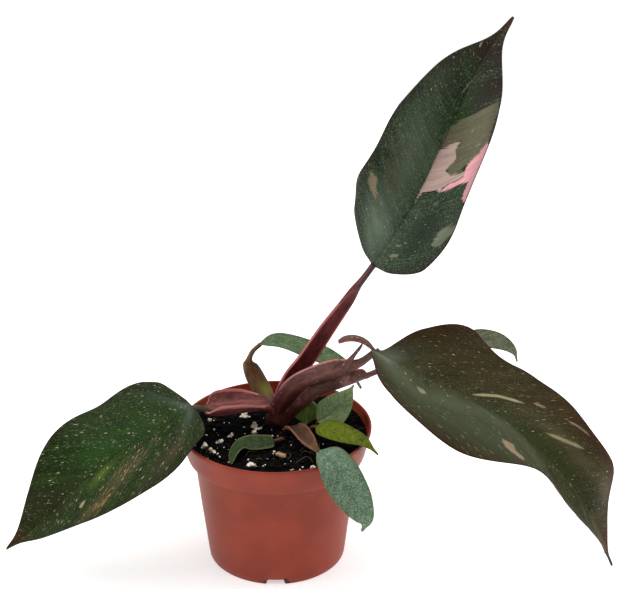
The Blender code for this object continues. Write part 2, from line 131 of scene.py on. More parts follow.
def finish_piece(obj, slot, *nodes):
    """The piece rides on the one body and stands for its CAD nodes; its slot is not used."""
    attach(obj, "root")
    if nodes:
        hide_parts(*nodes)
    return obj


def sheet_mesh(name, points, looks, wrap=False, uv=None, fields=None, colors=None):
    """Mesh of quads over a grid of points [rows, columns, 3].

    wrap joins the last column to the first. uv is a grid of pairs, and fields and colors are
    grids of one number or of three, kept as point attributes.
    """
    rows, cols = points.shape[:2]
    mesh = bpy.data.meshes.new(name)
    ids = np.arange(rows * cols).reshape(rows, cols)
    if wrap:
        ids = np.concatenate([ids, ids[:, :1]], axis=1)
    quads = np.stack([ids[:-1, :-1], ids[:-1, 1:], ids[1:, 1:], ids[1:, :-1]], -1).reshape(-1, 4)
    mesh.vertices.add(rows * cols)
    mesh.vertices.foreach_set("co", points.reshape(-1).astype(np.float32))
    mesh.loops.add(quads.size)
    mesh.loops.foreach_set("vertex_index", quads.reshape(-1).astype(np.int32))
    mesh.polygons.add(len(quads))
    mesh.polygons.foreach_set("loop_start", np.arange(0, quads.size, 4, dtype=np.int32))
    mesh.polygons.foreach_set("use_smooth", np.ones(len(quads), bool))
    mesh.update(calc_edges=True)
    if uv is not None:
        layer = mesh.uv_layers.new(name="veins")
        layer.uv.foreach_set("vector", uv.reshape(-1, 2)[quads.reshape(-1)].ravel())
    for key, values in (fields or {}).items():
        mesh.attributes.new(key, "FLOAT", "POINT").data.foreach_set(
            "value", np.ascontiguousarray(values, np.float32).ravel())
    for key, values in (colors or {}).items():
        rgba = np.concatenate([values, np.ones(values.shape[:-1] + (1,))], -1)
        mesh.attributes.new(key, "FLOAT_COLOR", "POINT").data.foreach_set(
            "color", rgba.astype(np.float32).ravel())
    for look in looks:
        mesh.materials.append(look)
    return put(name, mesh)


def turned_about(r, turn, z):
    """Points at a radius and height, turned about the pot's axis."""
    return np.stack([r * np.cos(turn), r * np.sin(turn), z + 0 * turn], -1)


def close_ends(obj):
    """Closes the open ends of a tube and turns its faces outwards."""
    mesh = bmesh.new()
    mesh.from_mesh(obj.data)
    bmesh.ops.holes_fill(mesh, edges=[e for e in mesh.edges if e.is_boundary], sides=0)
    bmesh.ops.recalc_face_normals(mesh, faces=mesh.faces)
    mesh.to_mesh(obj.data)
    mesh.free()
    return obj


def fill(tree, made, sockets):
    """Sets or links a node's sockets by name; returns the node."""
    for key, value in dict(sockets).items():
        if isinstance(value, bpy.types.NodeSocket):
            tree.links.new(value, made.inputs[key])
        else:
            made.inputs[key].default_value = value
    return made


def node(tree, kind, sockets=(), **settings):
    """Adds a shader node, sets its options and fills its sockets."""
    made = tree.nodes.new("ShaderNode" + kind)
    for key, value in settings.items():
        setattr(made, key, value)
    return fill(tree, made, sockets)


def calc(tree, operation, first, second=0.0, third=0.0, clamp=False):
    """One Math node; returns its output."""
    made = node(tree, "Math", {0: first, 1: second, 2: third}, operation=operation)
    made.use_clamp = clamp
    return made.outputs[0]


def blend(tree, share, first, second, mode="MIX"):
    """Mixes two colours; returns the result."""
    made = node(tree, "Mix", {0: share, 6: first, 7: second}, data_type="RGBA", blend_type=mode)
    return made.outputs[2]


def ease(tree, value, low, high):
    """Smooth step of a value between two limits; returns a mask."""
    made = node(tree, "MapRange", {0: value, 1: low, 2: high}, interpolation_type="SMOOTHSTEP")
    return made.outputs[0]


def ease_share(tree, value, low, high, most):
    """Smooth step of a value between two limits, up to the given share."""
    return calc(tree, "MULTIPLY", ease(tree, value, low, high), most)


def noise(tree, place, scale, detail, roughness=0.5):
    """Noise over a place; scale is one number, or three to stretch it along the axes."""
    if isinstance(scale, tuple):
        place = node(tree, "VectorMath", {0: place, 1: scale}, operation="MULTIPLY").outputs[0]
        scale = 1.0
    return node(tree, "TexNoise", {"Vector": place, "Scale": scale, "Detail": detail,
                                   "Roughness": roughness}).outputs[0]


def shader_group(name, inputs, outputs, build):
    """A node group with named sockets; build(tree, inputs) returns its outputs by name."""
    tree = bpy.data.node_groups.new(name, "ShaderNodeTree")
    kinds = {"value": "NodeSocketFloat", "color": "NodeSocketColor", "vector": "NodeSocketVector"}
    for key, kind in inputs.items():
        tree.interface.new_socket(key, in_out="INPUT", socket_type=kinds[kind])
    for key, kind in outputs.items():
        tree.interface.new_socket(key, in_out="OUTPUT", socket_type=kinds[kind])
    entry = tree.nodes.new("NodeGroupInput")
    leave = tree.nodes.new("NodeGroupOutput")
    for key, socket in build(tree, entry.outputs).items():
        tree.links.new(socket, leave.inputs[key])
    return tree


def use_group(tree, group, sockets):
    """Places a node group in a material with its own values."""
    return fill(tree, node(tree, "Group", node_tree=group), sockets)


def new_look(name, **constants):
    """A material with its Principled BSDF; constants go on the shader's own sockets."""
    look = bpy.data.materials.new(name)
    look.use_nodes = True
    shader = look.node_tree.nodes["Principled BSDF"]
    for key, value in constants.items():
        shader.inputs[key.replace("_", " ")].default_value = value
    return look, look.node_tree, shader


def bump_to(tree, shader, height, depth, strength=1.0):
    """Feeds a height into the shader's normal."""
    made = node(tree, "Bump", {"Height": height, "Distance": depth, "Strength": strength})
    tree.links.new(made.outputs[0], shader.inputs["Normal"])


def build_dust(tree, ports):
    """Scattered marks: cells of a Voronoi pattern, of which a share carries a round dot."""
    place = node(tree, "VectorMath", {0: ports["Place"], 1: ports["Cells"]}, operation="MULTIPLY")
    cell = node(tree, "TexVoronoi", {"Vector": place.outputs[0], "Scale": 1.0,
                                     "Randomness": 1.0})
    parts = node(tree, "SeparateColor", {0: cell.outputs["Color"]})
    picked = calc(tree, "LESS_THAN", parts.outputs[0], ports["Share"])
    radius = calc(tree, "MULTIPLY", ports["Size"],
                  calc(tree, "MULTIPLY_ADD", parts.outputs[1], 0.8, 0.35))
    inside = node(tree, "MapRange", {0: cell.outputs["Distance"],
                                     1: calc(tree, "MULTIPLY", radius, 0.55), 2: radius,
                                     3: 1.0, 4: 0.0}, interpolation_type="SMOOTHSTEP")
    return {"Mask": calc(tree, "MULTIPLY", picked, inside.outputs[0])}


dust = shader_group("scattered_marks", {"Place": "vector", "Cells": "vector", "Share": "value",
                                        "Size": "value"}, {"Mask": "value"}, build_dust)

plastic, tree, shader = new_look("terracotta_plastic", Specular_IOR_Level=0.22)
spot = node(tree, "TexCoord").outputs["Object"]
cloud = noise(tree, spot, 38.0, 5.0)
flow = noise(tree, spot, (60, 60, 9), 3.0)
grain = noise(tree, spot, 900.0, 2.0)
clay = blend(tree, ease(tree, cloud, 0.35, 0.65), srgb(136, 50, 31), srgb(149, 59, 37))
clay = blend(tree, calc(tree, "MULTIPLY", flow, 0.25), clay, srgb(124, 48, 34))
height = node(tree, "SeparateXYZ", {0: spot}).outputs[2]
# Painted shadow: a dark ring at the lower edge of the rim band, where the band steps out over the
# wall.
line = calc(tree, "ABSOLUTE", calc(tree, "SUBTRACT", height, POT_H - BAND_H + 0.0006))
band_step_shadow = node(tree, "MapRange", {0: line, 1: 0.0004, 2: 0.0020, 3: 0.7, 4: 0.0})
clay = blend(tree, band_step_shadow.outputs[0], clay, srgb(100, 42, 32))
soiled = use_group(tree, dust, {"Place": spot, "Cells": (240, 240, 240), "Share": 0.03,
                                "Size": 0.22})
high = ease(tree, height, 0.05, 0.09)
clay = blend(tree, calc(tree, "MULTIPLY", soiled.outputs[0], calc(tree, "MULTIPLY", high, 0.85)),
             clay, srgb(40, 26, 20))
ragged = noise(tree, spot, 520.0, 4.0)
for at, falloff, least, soft, mud in [
        ((0.0535, -0.027, 0.0845), 26.0, 0.42, 0.06, (48, 28, 20)),
        ((-0.0068, -0.0435, 0.001), 80.0, 0.30, 0.08, (60, 24, 18)),
        ((0.0068, -0.0435, 0.001), 80.0, 0.30, 0.08, (60, 24, 18))]:
    away = node(tree, "VectorMath", {0: spot, 1: at}, operation="DISTANCE").outputs["Value"]
    smear = calc(tree, "SUBTRACT", ragged, calc(tree, "MULTIPLY_ADD", away, falloff, least))
    clay = blend(tree, ease(tree, smear, 0.0, soft), clay, srgb(*mud))
tree.links.new(clay, shader.inputs["Base Color"])
tree.links.new(calc(tree, "MULTIPLY_ADD", cloud, 0.2, 0.36), shader.inputs["Roughness"])
bump_to(tree, shader, calc(tree, "ADD", grain, calc(tree, "MULTIPLY", cloud, 3)), 0.00012, 0.5)

band = POT_H - BAND_H
low_r = RIM_R - 0.0035
lip = [(RIM_R - WALL / 2 + WALL / 2 * math.cos(a), POT_H - WALL / 2 + WALL / 2 * math.sin(a))
       for a in np.linspace(0, math.pi, 9)]
pot_line = np.array([
    (0.0002, 0), (0.0096, 0), (0.0102, 0.0003), (0.0118, FLOOR), (0.0405, FLOOR),
    (BASE_R - WALL, FLOOR - 0.0004), (BASE_R - WALL, 0.0004), (BASE_R - WALL + 0.0003, 0),
    (BASE_R - 0.0004, 0), (BASE_R, 0.0004), (BASE_R + 0.0006, 0.005), (0.0456, 0.018),
    (0.0478, 0.036), (0.0498, 0.054), (BODY_R - 0.0002, band - 0.0016), (BODY_R, band - 0.0006),
    (BODY_R + 0.001, band + 0.0002), (low_r - 0.0018, band + 0.0004),
    (low_r - 0.0006, band + 0.0012), (low_r, band + 0.003), (low_r + 0.0012, band + 0.0085),
    (RIM_R - 0.0008, POT_H - 0.0045), (RIM_R - 0.0001, POT_H - 0.0022)] + lip + [
    (RIM_R - WALL - 0.0001, POT_H - 0.002), (low_r - WALL, band + 0.0035),
    (BODY_R - WALL + 0.0012, band + 0.0022), (BODY_R - WALL, band - 0.001),
    (BASE_R - WALL, FLOOR + WALL + 0.001), (BASE_R - WALL - 0.001, FLOOR + WALL),
    (0.0108, FLOOR + WALL), (0.0088, WALL), (0.0002, WALL)])
turn = (np.arange(POT_TURNS) + 0.5) * 2 * np.pi / POT_TURNS
notch = (turn + np.pi / 2 + np.pi / 4) % (np.pi / 2) - np.pi / 4
lift = NOTCH_H * (1 - smoothstep(NOTCH_HALF - 0.0007, NOTCH_HALF + 0.0007, np.abs(notch) * BASE_R))
r, z = pot_line[:, :1], pot_line[:, 1:] + 0 * turn
foot = (r > FOOT_IN_R) & (z < NOTCH_H - 0.0001)
z = np.where(foot, np.maximum(z, lift), z)
pot = close_ends(sheet_mesh("nursery_pot", turned_about(r, turn, z), [plastic], wrap=True))
drills = bmesh.new()
for k in range(DRAINS):
    a = 2 * math.pi * (k + 0.5) / DRAINS
    made = bmesh.ops.create_cone(drills, cap_ends=True, segments=30, radius1=DRAIN_R,
                                 radius2=DRAIN_R, depth=0.006)
    bmesh.ops.translate(drills, verts=made["verts"], vec=(
        DRAIN_RING * math.cos(a), DRAIN_RING * math.sin(a), FLOOR + WALL / 2))
drill_mesh = bpy.data.meshes.new("drain_drills")
drills.to_mesh(drill_mesh)
drills.free()
drill_obj = put("drain_drills", drill_mesh)
cut = pot.modifiers.new("drains", "BOOLEAN")
cut.operation, cut.solver, cut.object = "DIFFERENCE", "EXACT", drill_obj
bpy.context.view_layer.update()
holed = bpy.data.meshes.new_from_object(pot.evaluated_get(bpy.context.evaluated_depsgraph_get()))
pot.modifiers.clear()
pot.data = holed
bpy.data.objects.remove(drill_obj, do_unlink=True)
finish_piece(pot, "pot", "pot")

# ---- potting mix ----------------------------------------------------------------------------
# Moist peat and coir with perlite: a lumpy surface just under the rim, loose crumbs, pale
# perlite grains, a chip of bark and a few fibres.
mix_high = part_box("potting_mix")[1]
MIX_Z, MIX_R = mix_high[2], 0.0572
CRUMBS, LOOSE_BITS, BITS_PER_HEAP = 2600, 130, 9


def lumps(x, y, size, seed):
    """Value noise from -1 to 1: random heights on a square lattice, eased between its points."""
    lattice = np.random.default_rng(seed).uniform(-1, 1, (64, 64))
    u, v = x / size + 31.7, y / size + 17.3
    i, j = np.floor(u).astype(int), np.floor(v).astype(int)
    fu, fv = u - i, v - j
    fu, fv = fu * fu * (3 - 2 * fu), fv * fv * (3 - 2 * fv)
    a, b = lattice[i % 64, j % 64], lattice[(i + 1) % 64, j % 64]
    c, d = lattice[i % 64, (j + 1) % 64], lattice[(i + 1) % 64, (j + 1) % 64]
    return (a * (1 - fu) + b * fu) * (1 - fv) + (c * (1 - fu) + d * fu) * fv


def mix_height(x, y):
    """Height of the mix: three sizes of lumps, sinking a little towards the wall."""
    wide = lumps(x, y, 0.016, 1) * 0.0011 + lumps(x, y, 0.006, 2) * 0.0009
    fine = lumps(x, y, 0.0022, 3) * 0.0006 + lumps(x, y, 0.0011, 4) * 0.0003
    edge = smoothstep(0.045, 0.057, np.hypot(x, y)) * 0.0016
    return MIX_Z - 0.0002 + wide + fine - edge


def build_crumble(tree, ports):
    """Dark crumbly soil: black to brown in patches, with a few paler bits."""
    wide = noise(tree, ports["Place"], 160.0, 6.0)
    fine = noise(tree, ports["Place"], 1500.0, 3.0)
    dark = blend(tree, ease(tree, wide, 0.4, 0.7), srgb(2, 2, 2), srgb(14, 9, 8))
    bits = use_group(tree, dust, {"Place": ports["Place"], "Cells": (420, 420, 420),
                                  "Share": 0.05, "Size": 0.25})
    return {"Color": blend(tree, calc(tree, "MULTIPLY", bits.outputs[0], 0.5), dark,
                           srgb(110, 92, 78)),
            "Height": calc(tree, "ADD", fine, wide)}


crumble = shader_group("crumbly_soil", {"Place": "vector"}, {"Color": "color", "Height": "value"},
                       build_crumble)
soil_look, tree, shader = new_look("moist_potting_mix", Roughness=0.85, Specular_IOR_Level=0.08)
earth = use_group(tree, crumble, {"Place": node(tree, "TexCoord").outputs["Object"]})
tree.links.new(earth.outputs["Color"], shader.inputs["Base Color"])
bump_to(tree, shader, earth.outputs["Height"], 0.0006, 0.9)

MIX_RINGS, MIX_TURNS = 150, 300
ring = np.linspace(0.0004, MIX_R, MIX_RINGS)[:, None]
turn = np.linspace(0, 2 * np.pi, MIX_TURNS, endpoint=False)[None]
x, y = ring * np.cos(turn), ring * np.sin(turn)
top = np.stack([x, y, mix_height(x, y)], -1)
wall_line = np.array([(0.0566, 0.0835), (0.0545, 0.0775), (0.0532, 0.0738), (0.0490, 0.0700),
                      (0.0472, 0.0560), (0.0416, 0.0070), (0.0406, 0.0060), (0.0104, 0.0060),
                      (0.0002, 0.0060)])
wall = turned_about(wall_line[:, :1], turn, wall_line[:, 1:])
soil = close_ends(sheet_mesh("potting_mix_bed", np.concatenate([top, wall]), [soil_look],
                             wrap=True))
finish_piece(soil, "mix", "potting_mix")


def scatter(name, places, radii, look, seed, detail=1, squash=0.7, rough=0.22):
    """Irregular grains in one mesh: a ball's points pushed in and out, turned and placed."""
    ball = bmesh.new()
    bmesh.ops.create_icosphere(ball, subdivisions=detail, radius=1)
    unit_points = np.array([v.co[:] for v in ball.verts])
    unit_faces = np.array([[v.index for v in f.verts] for f in ball.faces])
    ball.free()
    rng = np.random.default_rng(seed)
    count, per = len(places), len(unit_points)
    push = 1 + rng.uniform(-rough, rough, (count, per, 1))
    stretch = rng.uniform(0.6, 1.3, (count, 1, 3)) * (1, 1, squash)
    grains = unit_points[None] * push * stretch * radii[:, None, None]
    a = rng.uniform(0, 2 * np.pi, count)[:, None]
    turned = np.stack([grains[..., 0] * np.cos(a) - grains[..., 1] * np.sin(a),
                       grains[..., 0] * np.sin(a) + grains[..., 1] * np.cos(a),
                       grains[..., 2]], -1) + places[:, None]
    mesh = bpy.data.meshes.new(name)
    faces = (unit_faces[None] + np.arange(count)[:, None, None] * per).reshape(-1, 3)
    mesh.from_pydata(turned.reshape(-1, 3).tolist(), [], faces.tolist())
    shade = np.repeat(rng.uniform(0, 1, count), per).astype(np.float32)
    mesh.attributes.new("shade", "FLOAT", "POINT").data.foreach_set("value", shade)
    mesh.materials.append(look)
    return put(name, mesh)


crumb_look, tree, shader = new_look("soil_crumbs", Roughness=0.8, Specular_IOR_Level=0.1)
earth = use_group(tree, crumble, {"Place": node(tree, "TexCoord").outputs["Object"]})
shade = node(tree, "Attribute", attribute_name="shade").outputs["Fac"]
tone = blend(tree, ease(tree, shade, 0.75, 1.0), earth.outputs["Color"], srgb(36, 23, 17))
tree.links.new(tone, shader.inputs["Base Color"])
bump_to(tree, shader, earth.outputs["Height"], 0.0003, 0.8)
rng = np.random.default_rng(7)
radius = (MIX_R - 0.001) * np.sqrt(rng.uniform(0, 1, CRUMBS))
angle = rng.uniform(0, 2 * np.pi, CRUMBS)
x, y = radius * np.cos(angle), radius * np.sin(angle)
sizes = rng.uniform(0.0004, 0.0012, CRUMBS) * (1 + 1.2 * (rng.uniform(0, 1, CRUMBS) > 0.9))
crumbs = scatter("soil_crumbs", np.stack([x, y, mix_height(x, y) + sizes * 0.25], -1), sizes,
                 crumb_look, 8)
finish_piece(crumbs, "mix")

perlite_look, tree, shader = new_look("perlite", Roughness=0.9)
spot = node(tree, "TexCoord").outputs["Object"]
pits = noise(tree, spot, 900.0, 5.0)
stain = noise(tree, spot, 350.0, 3.0)
cream = blend(tree, ease(tree, stain, 0.45, 0.72), srgb(250, 240, 224),
              srgb(186, 160, 128))
cream = blend(tree, ease(tree, pits, 0.62, 0.7), cream, srgb(92, 76, 60))
tree.links.new(cream, shader.inputs["Base Color"])
bump_to(tree, shader, pits, 0.0005, 1.0)
for k in range(1, 11):
    low, high = (np.array(c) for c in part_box(f"perlite_{k}"))
    at = (low + high) / 2
    wide, cluster = (high - low)[0], np.random.default_rng(60 + k)
    about = cluster.normal(0, 0.30, (7, 3)) * wide * (1, 1, 0.35)
    about[0] = 0
    about[:, 2] += high[2] - 0.0019
    about[:, :2] += at[:2]
    lump = scatter(f"perlite_grain_{k}", about, wide * cluster.uniform(0.16, 0.34, 7),
                   perlite_look, 20 + k, detail=2, squash=0.8, rough=0.2)
    finish_piece(lump, "perlite", f"perlite_{k}")

radius = 0.055 * np.sqrt(rng.uniform(0, 1, LOOSE_BITS))
angle = rng.uniform(0, 2 * np.pi, LOOSE_BITS)
heap = np.array([[-0.0135, 0.004], [-0.036, -0.024], [-0.018, -0.012], [0.012, -0.046],
                 [0.045, -0.012], [-0.040, -0.030]])
heaped = len(heap) * BITS_PER_HEAP
x = np.concatenate([radius * np.cos(angle), np.repeat(heap[:, 0], BITS_PER_HEAP)
                    + rng.normal(0, 0.0035, heaped)])
y = np.concatenate([radius * np.sin(angle), np.repeat(heap[:, 1], BITS_PER_HEAP)
                    + rng.normal(0, 0.0035, heaped)])
sizes = rng.uniform(0.0002, 0.00085, len(x))
bits = scatter("perlite_bits", np.stack([x, y, mix_height(x, y) + sizes * 0.6], -1), sizes,
               perlite_look, 9)
finish_piece(bits, "perlite")

bark_look, tree, shader = new_look("bark_chip", Roughness=0.85)
spot = node(tree, "TexCoord").outputs["Object"]
fibre = noise(tree, node(tree, "Mapping", {
    "Vector": spot, "Rotation": (0, 0, 0.5), "Scale": (200, 1600, 1600)}).outputs[0], 1.0, 4.0)
tree.links.new(blend(tree, ease(tree, fibre, 0.35, 0.7), srgb(200, 164, 122), srgb(116, 82, 54)),
               shader.inputs["Base Color"])
bump_to(tree, shader, fibre, 0.0004, 1.0)
low, high = (np.array(c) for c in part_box("bark_chip"))
LONG_HALF, WIDE_HALF, THICK_HALF, CHIP_TURN = 0.0036, 0.0017, 0.0009, -0.5
u, v = np.meshgrid(np.linspace(0, 2 * np.pi, 48, endpoint=False), np.linspace(-0.99, 0.99, 24))
broad = np.sign(np.cos(u)) * np.abs(np.cos(u)) ** 0.6
flat = np.sign(np.sin(u)) * np.abs(np.sin(u)) ** 0.6
cap = np.clip(1 - np.abs(v) ** 6, 0, 1) ** 0.5
x = v * LONG_HALF + 0.0004 * lumps(u * 0.01, v * 0.01, 0.012, 5)
y = broad * cap * WIDE_HALF * (1 + 0.25 * lumps(v * 0.01, u * 0.01, 0.006, 6))
z = flat * cap * THICK_HALF + 0.0003 * lumps(v * 0.01, u * 0.01, 0.009, 7)
body = np.stack([x * math.cos(CHIP_TURN) - y * math.sin(CHIP_TURN),
                 x * math.sin(CHIP_TURN) + y * math.cos(CHIP_TURN), z], -1)
chip = close_ends(sheet_mesh("bark_chip_piece", body + [*(low + high)[:2] / 2, high[2] - 0.0008],
                             [bark_look], wrap=True))
finish_piece(chip, "bark", "bark_chip")


def smooth_line(points, t):
    """Catmull-Rom curve through the points, t from 0 to 1 with equal shares per span."""
    p = np.asarray(points, float)
    n = len(p) - 1
    ext = np.concatenate([[2 * p[0] - p[1]], p, [2 * p[-1] - p[-2]]])
    x = np.clip(np.asarray(t, float), 0, 1) * n
    i = np.minimum(x.astype(int), n - 1)
    f = x - i
    if p.ndim > 1:
        f = f[..., None]
    a, b, c, d = ext[i], ext[i + 1], ext[i + 2], ext[i + 3]
    return 0.5 * (2 * b + (c - a) * f + (2 * a - 5 * b + 4 * c - d) * f**2
                  + (3 * b - a - 3 * c + d) * f**3)


def unit(v):
    """Vectors scaled to length one."""
    return v / np.linalg.norm(v, axis=-1, keepdims=True)


def directions(path, face, s):
    """Point, tangent, face normal and sideways direction at stations s of a path."""
    h = 1e-3
    tangent = unit(smooth_line(path, np.minimum(s + h, 1)) - smooth_line(path, np.maximum(s - h, 0)))
    normal = smooth_line(face, s)
    normal = unit(normal - (normal * tangent).sum(-1, keepdims=True) * tangent)
    return smooth_line(path, s), tangent, normal, np.cross(normal, tangent)


fibre_look, tree, shader = new_look("coir_fibre", Roughness=0.8)
spot = node(tree, "TexCoord").outputs["Object"]
tree.links.new(blend(tree, noise(tree, spot, 260.0, 2.0), srgb(60, 42, 32), srgb(150, 120, 92)),
               shader.inputs["Base Color"])
FIBRES, FIBRE_ROWS, FIBRE_SIDES = 34, 14, 6
ROD = FIBRE_ROWS * FIBRE_SIDES
rods = []
s = np.linspace(0, 1, FIBRE_ROWS)
phi = np.linspace(0, 2 * np.pi, FIBRE_SIDES, endpoint=False)
for k in range(FIBRES):
    start = rng.uniform(-0.042, 0.042, 2)
    way = rng.uniform(0, 2 * np.pi)
    bend = rng.uniform(-1.6, 1.6)
    reach = rng.uniform(0.004, 0.012)
    x = start[0] + reach * s * np.cos(way + bend * s)
    y = start[1] + reach * s * np.sin(way + bend * s)
    line = np.stack([x, y, mix_height(x, y) + 0.0005 + 0.0012 * np.sin(np.pi * s)], -1)
    side = unit(np.stack([-np.gradient(y), np.gradient(x), 0 * x], -1))
    thick = rng.uniform(0.00009, 0.0002) * (1 - 0.5 * s)[:, None, None]
    rods.append(line[:, None] + thick * (np.cos(phi)[None, :, None] * side[:, None]
                                         + np.sin(phi)[None, :, None] * np.array([0, 0, 1.0])))
stacked = np.concatenate(rods)
fibres = sheet_mesh("coir_fibres", stacked, [fibre_look], wrap=True)
mesh = bmesh.new()
mesh.from_mesh(fibres.data)
bridges = [f for f in mesh.faces if len({v.index // ROD for v in f.verts}) == 2]
bmesh.ops.delete(mesh, geom=bridges, context="FACES")
mesh.to_mesh(fibres.data)
mesh.free()
finish_piece(close_ends(fibres), "mix")

# ---- stem and roots -------------------------------------------------------------------------
# The short main stem is dark purple, ringed where old leaves were attached. It is one piece
# with the roots, which spread down from its foot inside the mix.
stem_low, stem_high = (np.array(c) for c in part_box("main_stem"))


def build_skin(tree, ports):
    """Skin of a stalk: lengthwise streaks, soft patches and fine speckles on a base colour."""
    lines = noise(tree, ports["Along"], (9.0, 5.0, 0.0), 4.0, 0.6)
    ribs = noise(tree, ports["Along"], (4.0, 38.0, 0.0), 3.0)
    patches = noise(tree, ports["Place"], 130.0, 4.0)
    speck = noise(tree, ports["Place"], 1400.0, 2.0)
    tone = blend(tree, ease(tree, lines, 0.38, 0.64), ports["Base"], ports["Light"])
    tone = blend(tree, ease_share(tree, ribs, 0.5, 0.72, 0.5), tone, ports["Dark"])
    tone = blend(tree, ease_share(tree, patches, 0.5, 0.68, 0.6), tone, ports["Dark"])
    tone = blend(tree, ease_share(tree, speck, 0.6, 0.72, 0.35), tone, ports["Light"])
    return {"Color": tone,
            "Height": calc(tree, "ADD", ribs, calc(tree, "MULTIPLY", speck, 0.25))}


skin = shader_group("stalk_skin", {"Along": "vector", "Place": "vector", "Base": "color",
                                   "Light": "color", "Dark": "color"},
                    {"Color": "color", "Height": "value"}, build_skin)


def stalk_look(name, base, light, dark, rim, roughness=0.42, depth=0.0006, soiled=0.0):
    """Material of a stalk: its skin, a paler rim along both edges of the sheath, and dirt."""
    look, tree, shader = new_look(name, Roughness=roughness, Specular_IOR_Level=0.35)
    place = node(tree, "TexCoord").outputs["Object"]
    along = node(tree, "UVMap", uv_map="veins").outputs[0]
    made = use_group(tree, skin, {"Along": along, "Place": place, "Base": srgb(*base),
                                  "Light": srgb(*light), "Dark": srgb(*dark)})
    edge = node(tree, "Attribute", attribute_name="edge").outputs["Fac"]
    wobble = noise(tree, place, 220.0, 2.0)
    band = ease(tree, calc(tree, "MULTIPLY_ADD", wobble, 0.10, edge), 0.88, 0.98)
    tint = blend(tree, band, made.outputs["Color"], srgb(*rim))
    # The wash holds soft tints of the stalk's own colour and, on the right sheath, painted shade and
    # a painted highlight.
    paint = node(tree, "Attribute", attribute_name="wash")
    share = node(tree, "Attribute", attribute_name="wash_share").outputs["Fac"]
    tint = blend(tree, share, tint, paint.outputs["Color"])
    grit = use_group(tree, dust, {"Place": place, "Cells": (620, 620, 620), "Share": soiled * 0.4,
                                  "Size": 0.34})
    tint = blend(tree, grit.outputs[0], tint, srgb(190, 164, 140))
    grime = use_group(tree, dust, {"Place": place, "Cells": (430, 430, 430), "Share": soiled,
                                   "Size": 0.36})
    tint = blend(tree, calc(tree, "MULTIPLY", grime.outputs[0], 0.8), tint, srgb(36, 20, 16))
    tree.links.new(tint, shader.inputs["Base Color"])
    bump_to(tree, shader, made.outputs["Height"], depth, 0.7)
    return look


def lay_wash(wash, share, spot, colour):
    """Adds one soft spot of colour to a wash; returns the wash and how much of it shows."""
    part = (spot / np.maximum(spot + share, 1e-6))[..., None]
    return wash + (np.array(srgb(*colour)[:3]) - wash) * part, np.maximum(share, spot)


def sheath(name, path, face, half, thick, bend, look, rows=90, around=72, washes=(), ripple=0.0):
    """A stalk whose round section spreads into a channel that wraps the stem.

    The section is an ellipse (a cos phi, b sin phi) bent on a circle of curvature k = bend / a:
    x = p sinc(kp) - q sin(kp) and y = q cos(kp) + p sin(kp/2) sinc(kp/2), where p and q are the
    ellipse's coordinates. It is carried along the path with y on the face side. Washes are
    (s, across, length, breadth, colour, strength) spots of colour.
    """
    swing = np.cos(np.linspace(0, np.pi, rows))
    crowded = 0.5 - 0.5 * swing * (0.35 + 0.65 * np.abs(swing))
    s = np.linspace(0, 1, rows) * 0.6 + crowded * 0.4
    base, _, up, side = directions(path, face, s)
    a, b = smooth_line(half, s), smooth_line(thick, s)
    k = smooth_line(bend, s) / a
    phi = np.linspace(0, 2 * np.pi, around, endpoint=False)
    a2 = a[:, None] * (1 + ripple * lumps(s[:, None] * 0.1, np.cos(phi)[None] * 0.004, 0.013, 11)
                       * (a / b > 2)[:, None])
    p, q = a2 * np.cos(phi), b[:, None] * np.sin(phi)
    kp = k[:, None] * p
    x = p * np.sinc(kp / np.pi) - q * np.sin(kp)
    y = q * np.cos(kp) + p * np.sin(kp / 2) * np.sinc(kp / 2 / np.pi)
    rings = base[:, None] + x[..., None] * side[:, None] + y[..., None] * up[:, None]
    dome = np.array([0.05, 0.55, 0.86])[:, None, None]
    first = base[0] + (rings[0] - base[0]) * dome
    last = base[-1] + (rings[-1] - base[-1]) * dome[::-1]
    grid = np.concatenate([first, rings, last])
    s = np.concatenate([[0, 0, 0], s, [1, 1, 1]])[:, None] + 0 * phi[None]
    across = np.cos(phi)[None] + 0 * s
    length = np.linalg.norm(np.diff(smooth_line(path, np.linspace(0, 1, 50)), axis=0), axis=1).sum()
    wide = np.concatenate([a[:1].repeat(3), a, a[-1:].repeat(3)])[:, None]
    uv = np.stack([s * length / 0.05, across * np.maximum(wide, 0.002) / 0.008
                   + (np.sin(phi) < 0)[None] * 7.3], -1)
    sheathed = np.clip(np.concatenate([a[:1].repeat(3) * 0, a / b, a[-1:].repeat(3) * 0]) / 3 - 0.7,
                       0, 1)[:, None]
    # Washes: soft tints of the stalk's own colour and, on the right sheath, painted shade and a
    # painted highlight.
    wash, share = np.zeros(s.shape + (3,)), np.zeros(s.shape)
    for at, over, long, broad, colour, strength in washes:
        spot = strength * np.exp(-((s - at) / long) ** 2 - ((across - over) / broad) ** 2)
        wash, share = lay_wash(wash, share, spot, colour)
    obj = sheet_mesh(name, grid, [look], wrap=True, uv=uv,
                     fields={"edge": np.abs(across) * sheathed, "wash_share": share},
                     colors={"wash": wash})
    return close_ends(obj)


def mm(points):
    """Points given in millimetres as metres."""
    return np.asarray(points, float) / 1000


stem_look = stalk_look("dark_stem", (48, 14, 22), (74, 28, 34), (22, 8, 12), (48, 14, 22))
stem_at = (stem_low + stem_high)[:2] / 2
radii = np.array([5.5, 6.0, 6.8, 6.6, 7.2, 6.8, 7.1, 6.2, 3.6]) / 1000
stem_line = np.array([[*stem_at, z] for z in np.linspace(stem_low[2], stem_high[2], 9)])
stem = sheath("leafy_stem", stem_line, [(0, -1, 0)] * 2, radii, radii, [0] * 9, stem_look,
              rows=120)
finish_piece(stem, "stem", "main_stem")

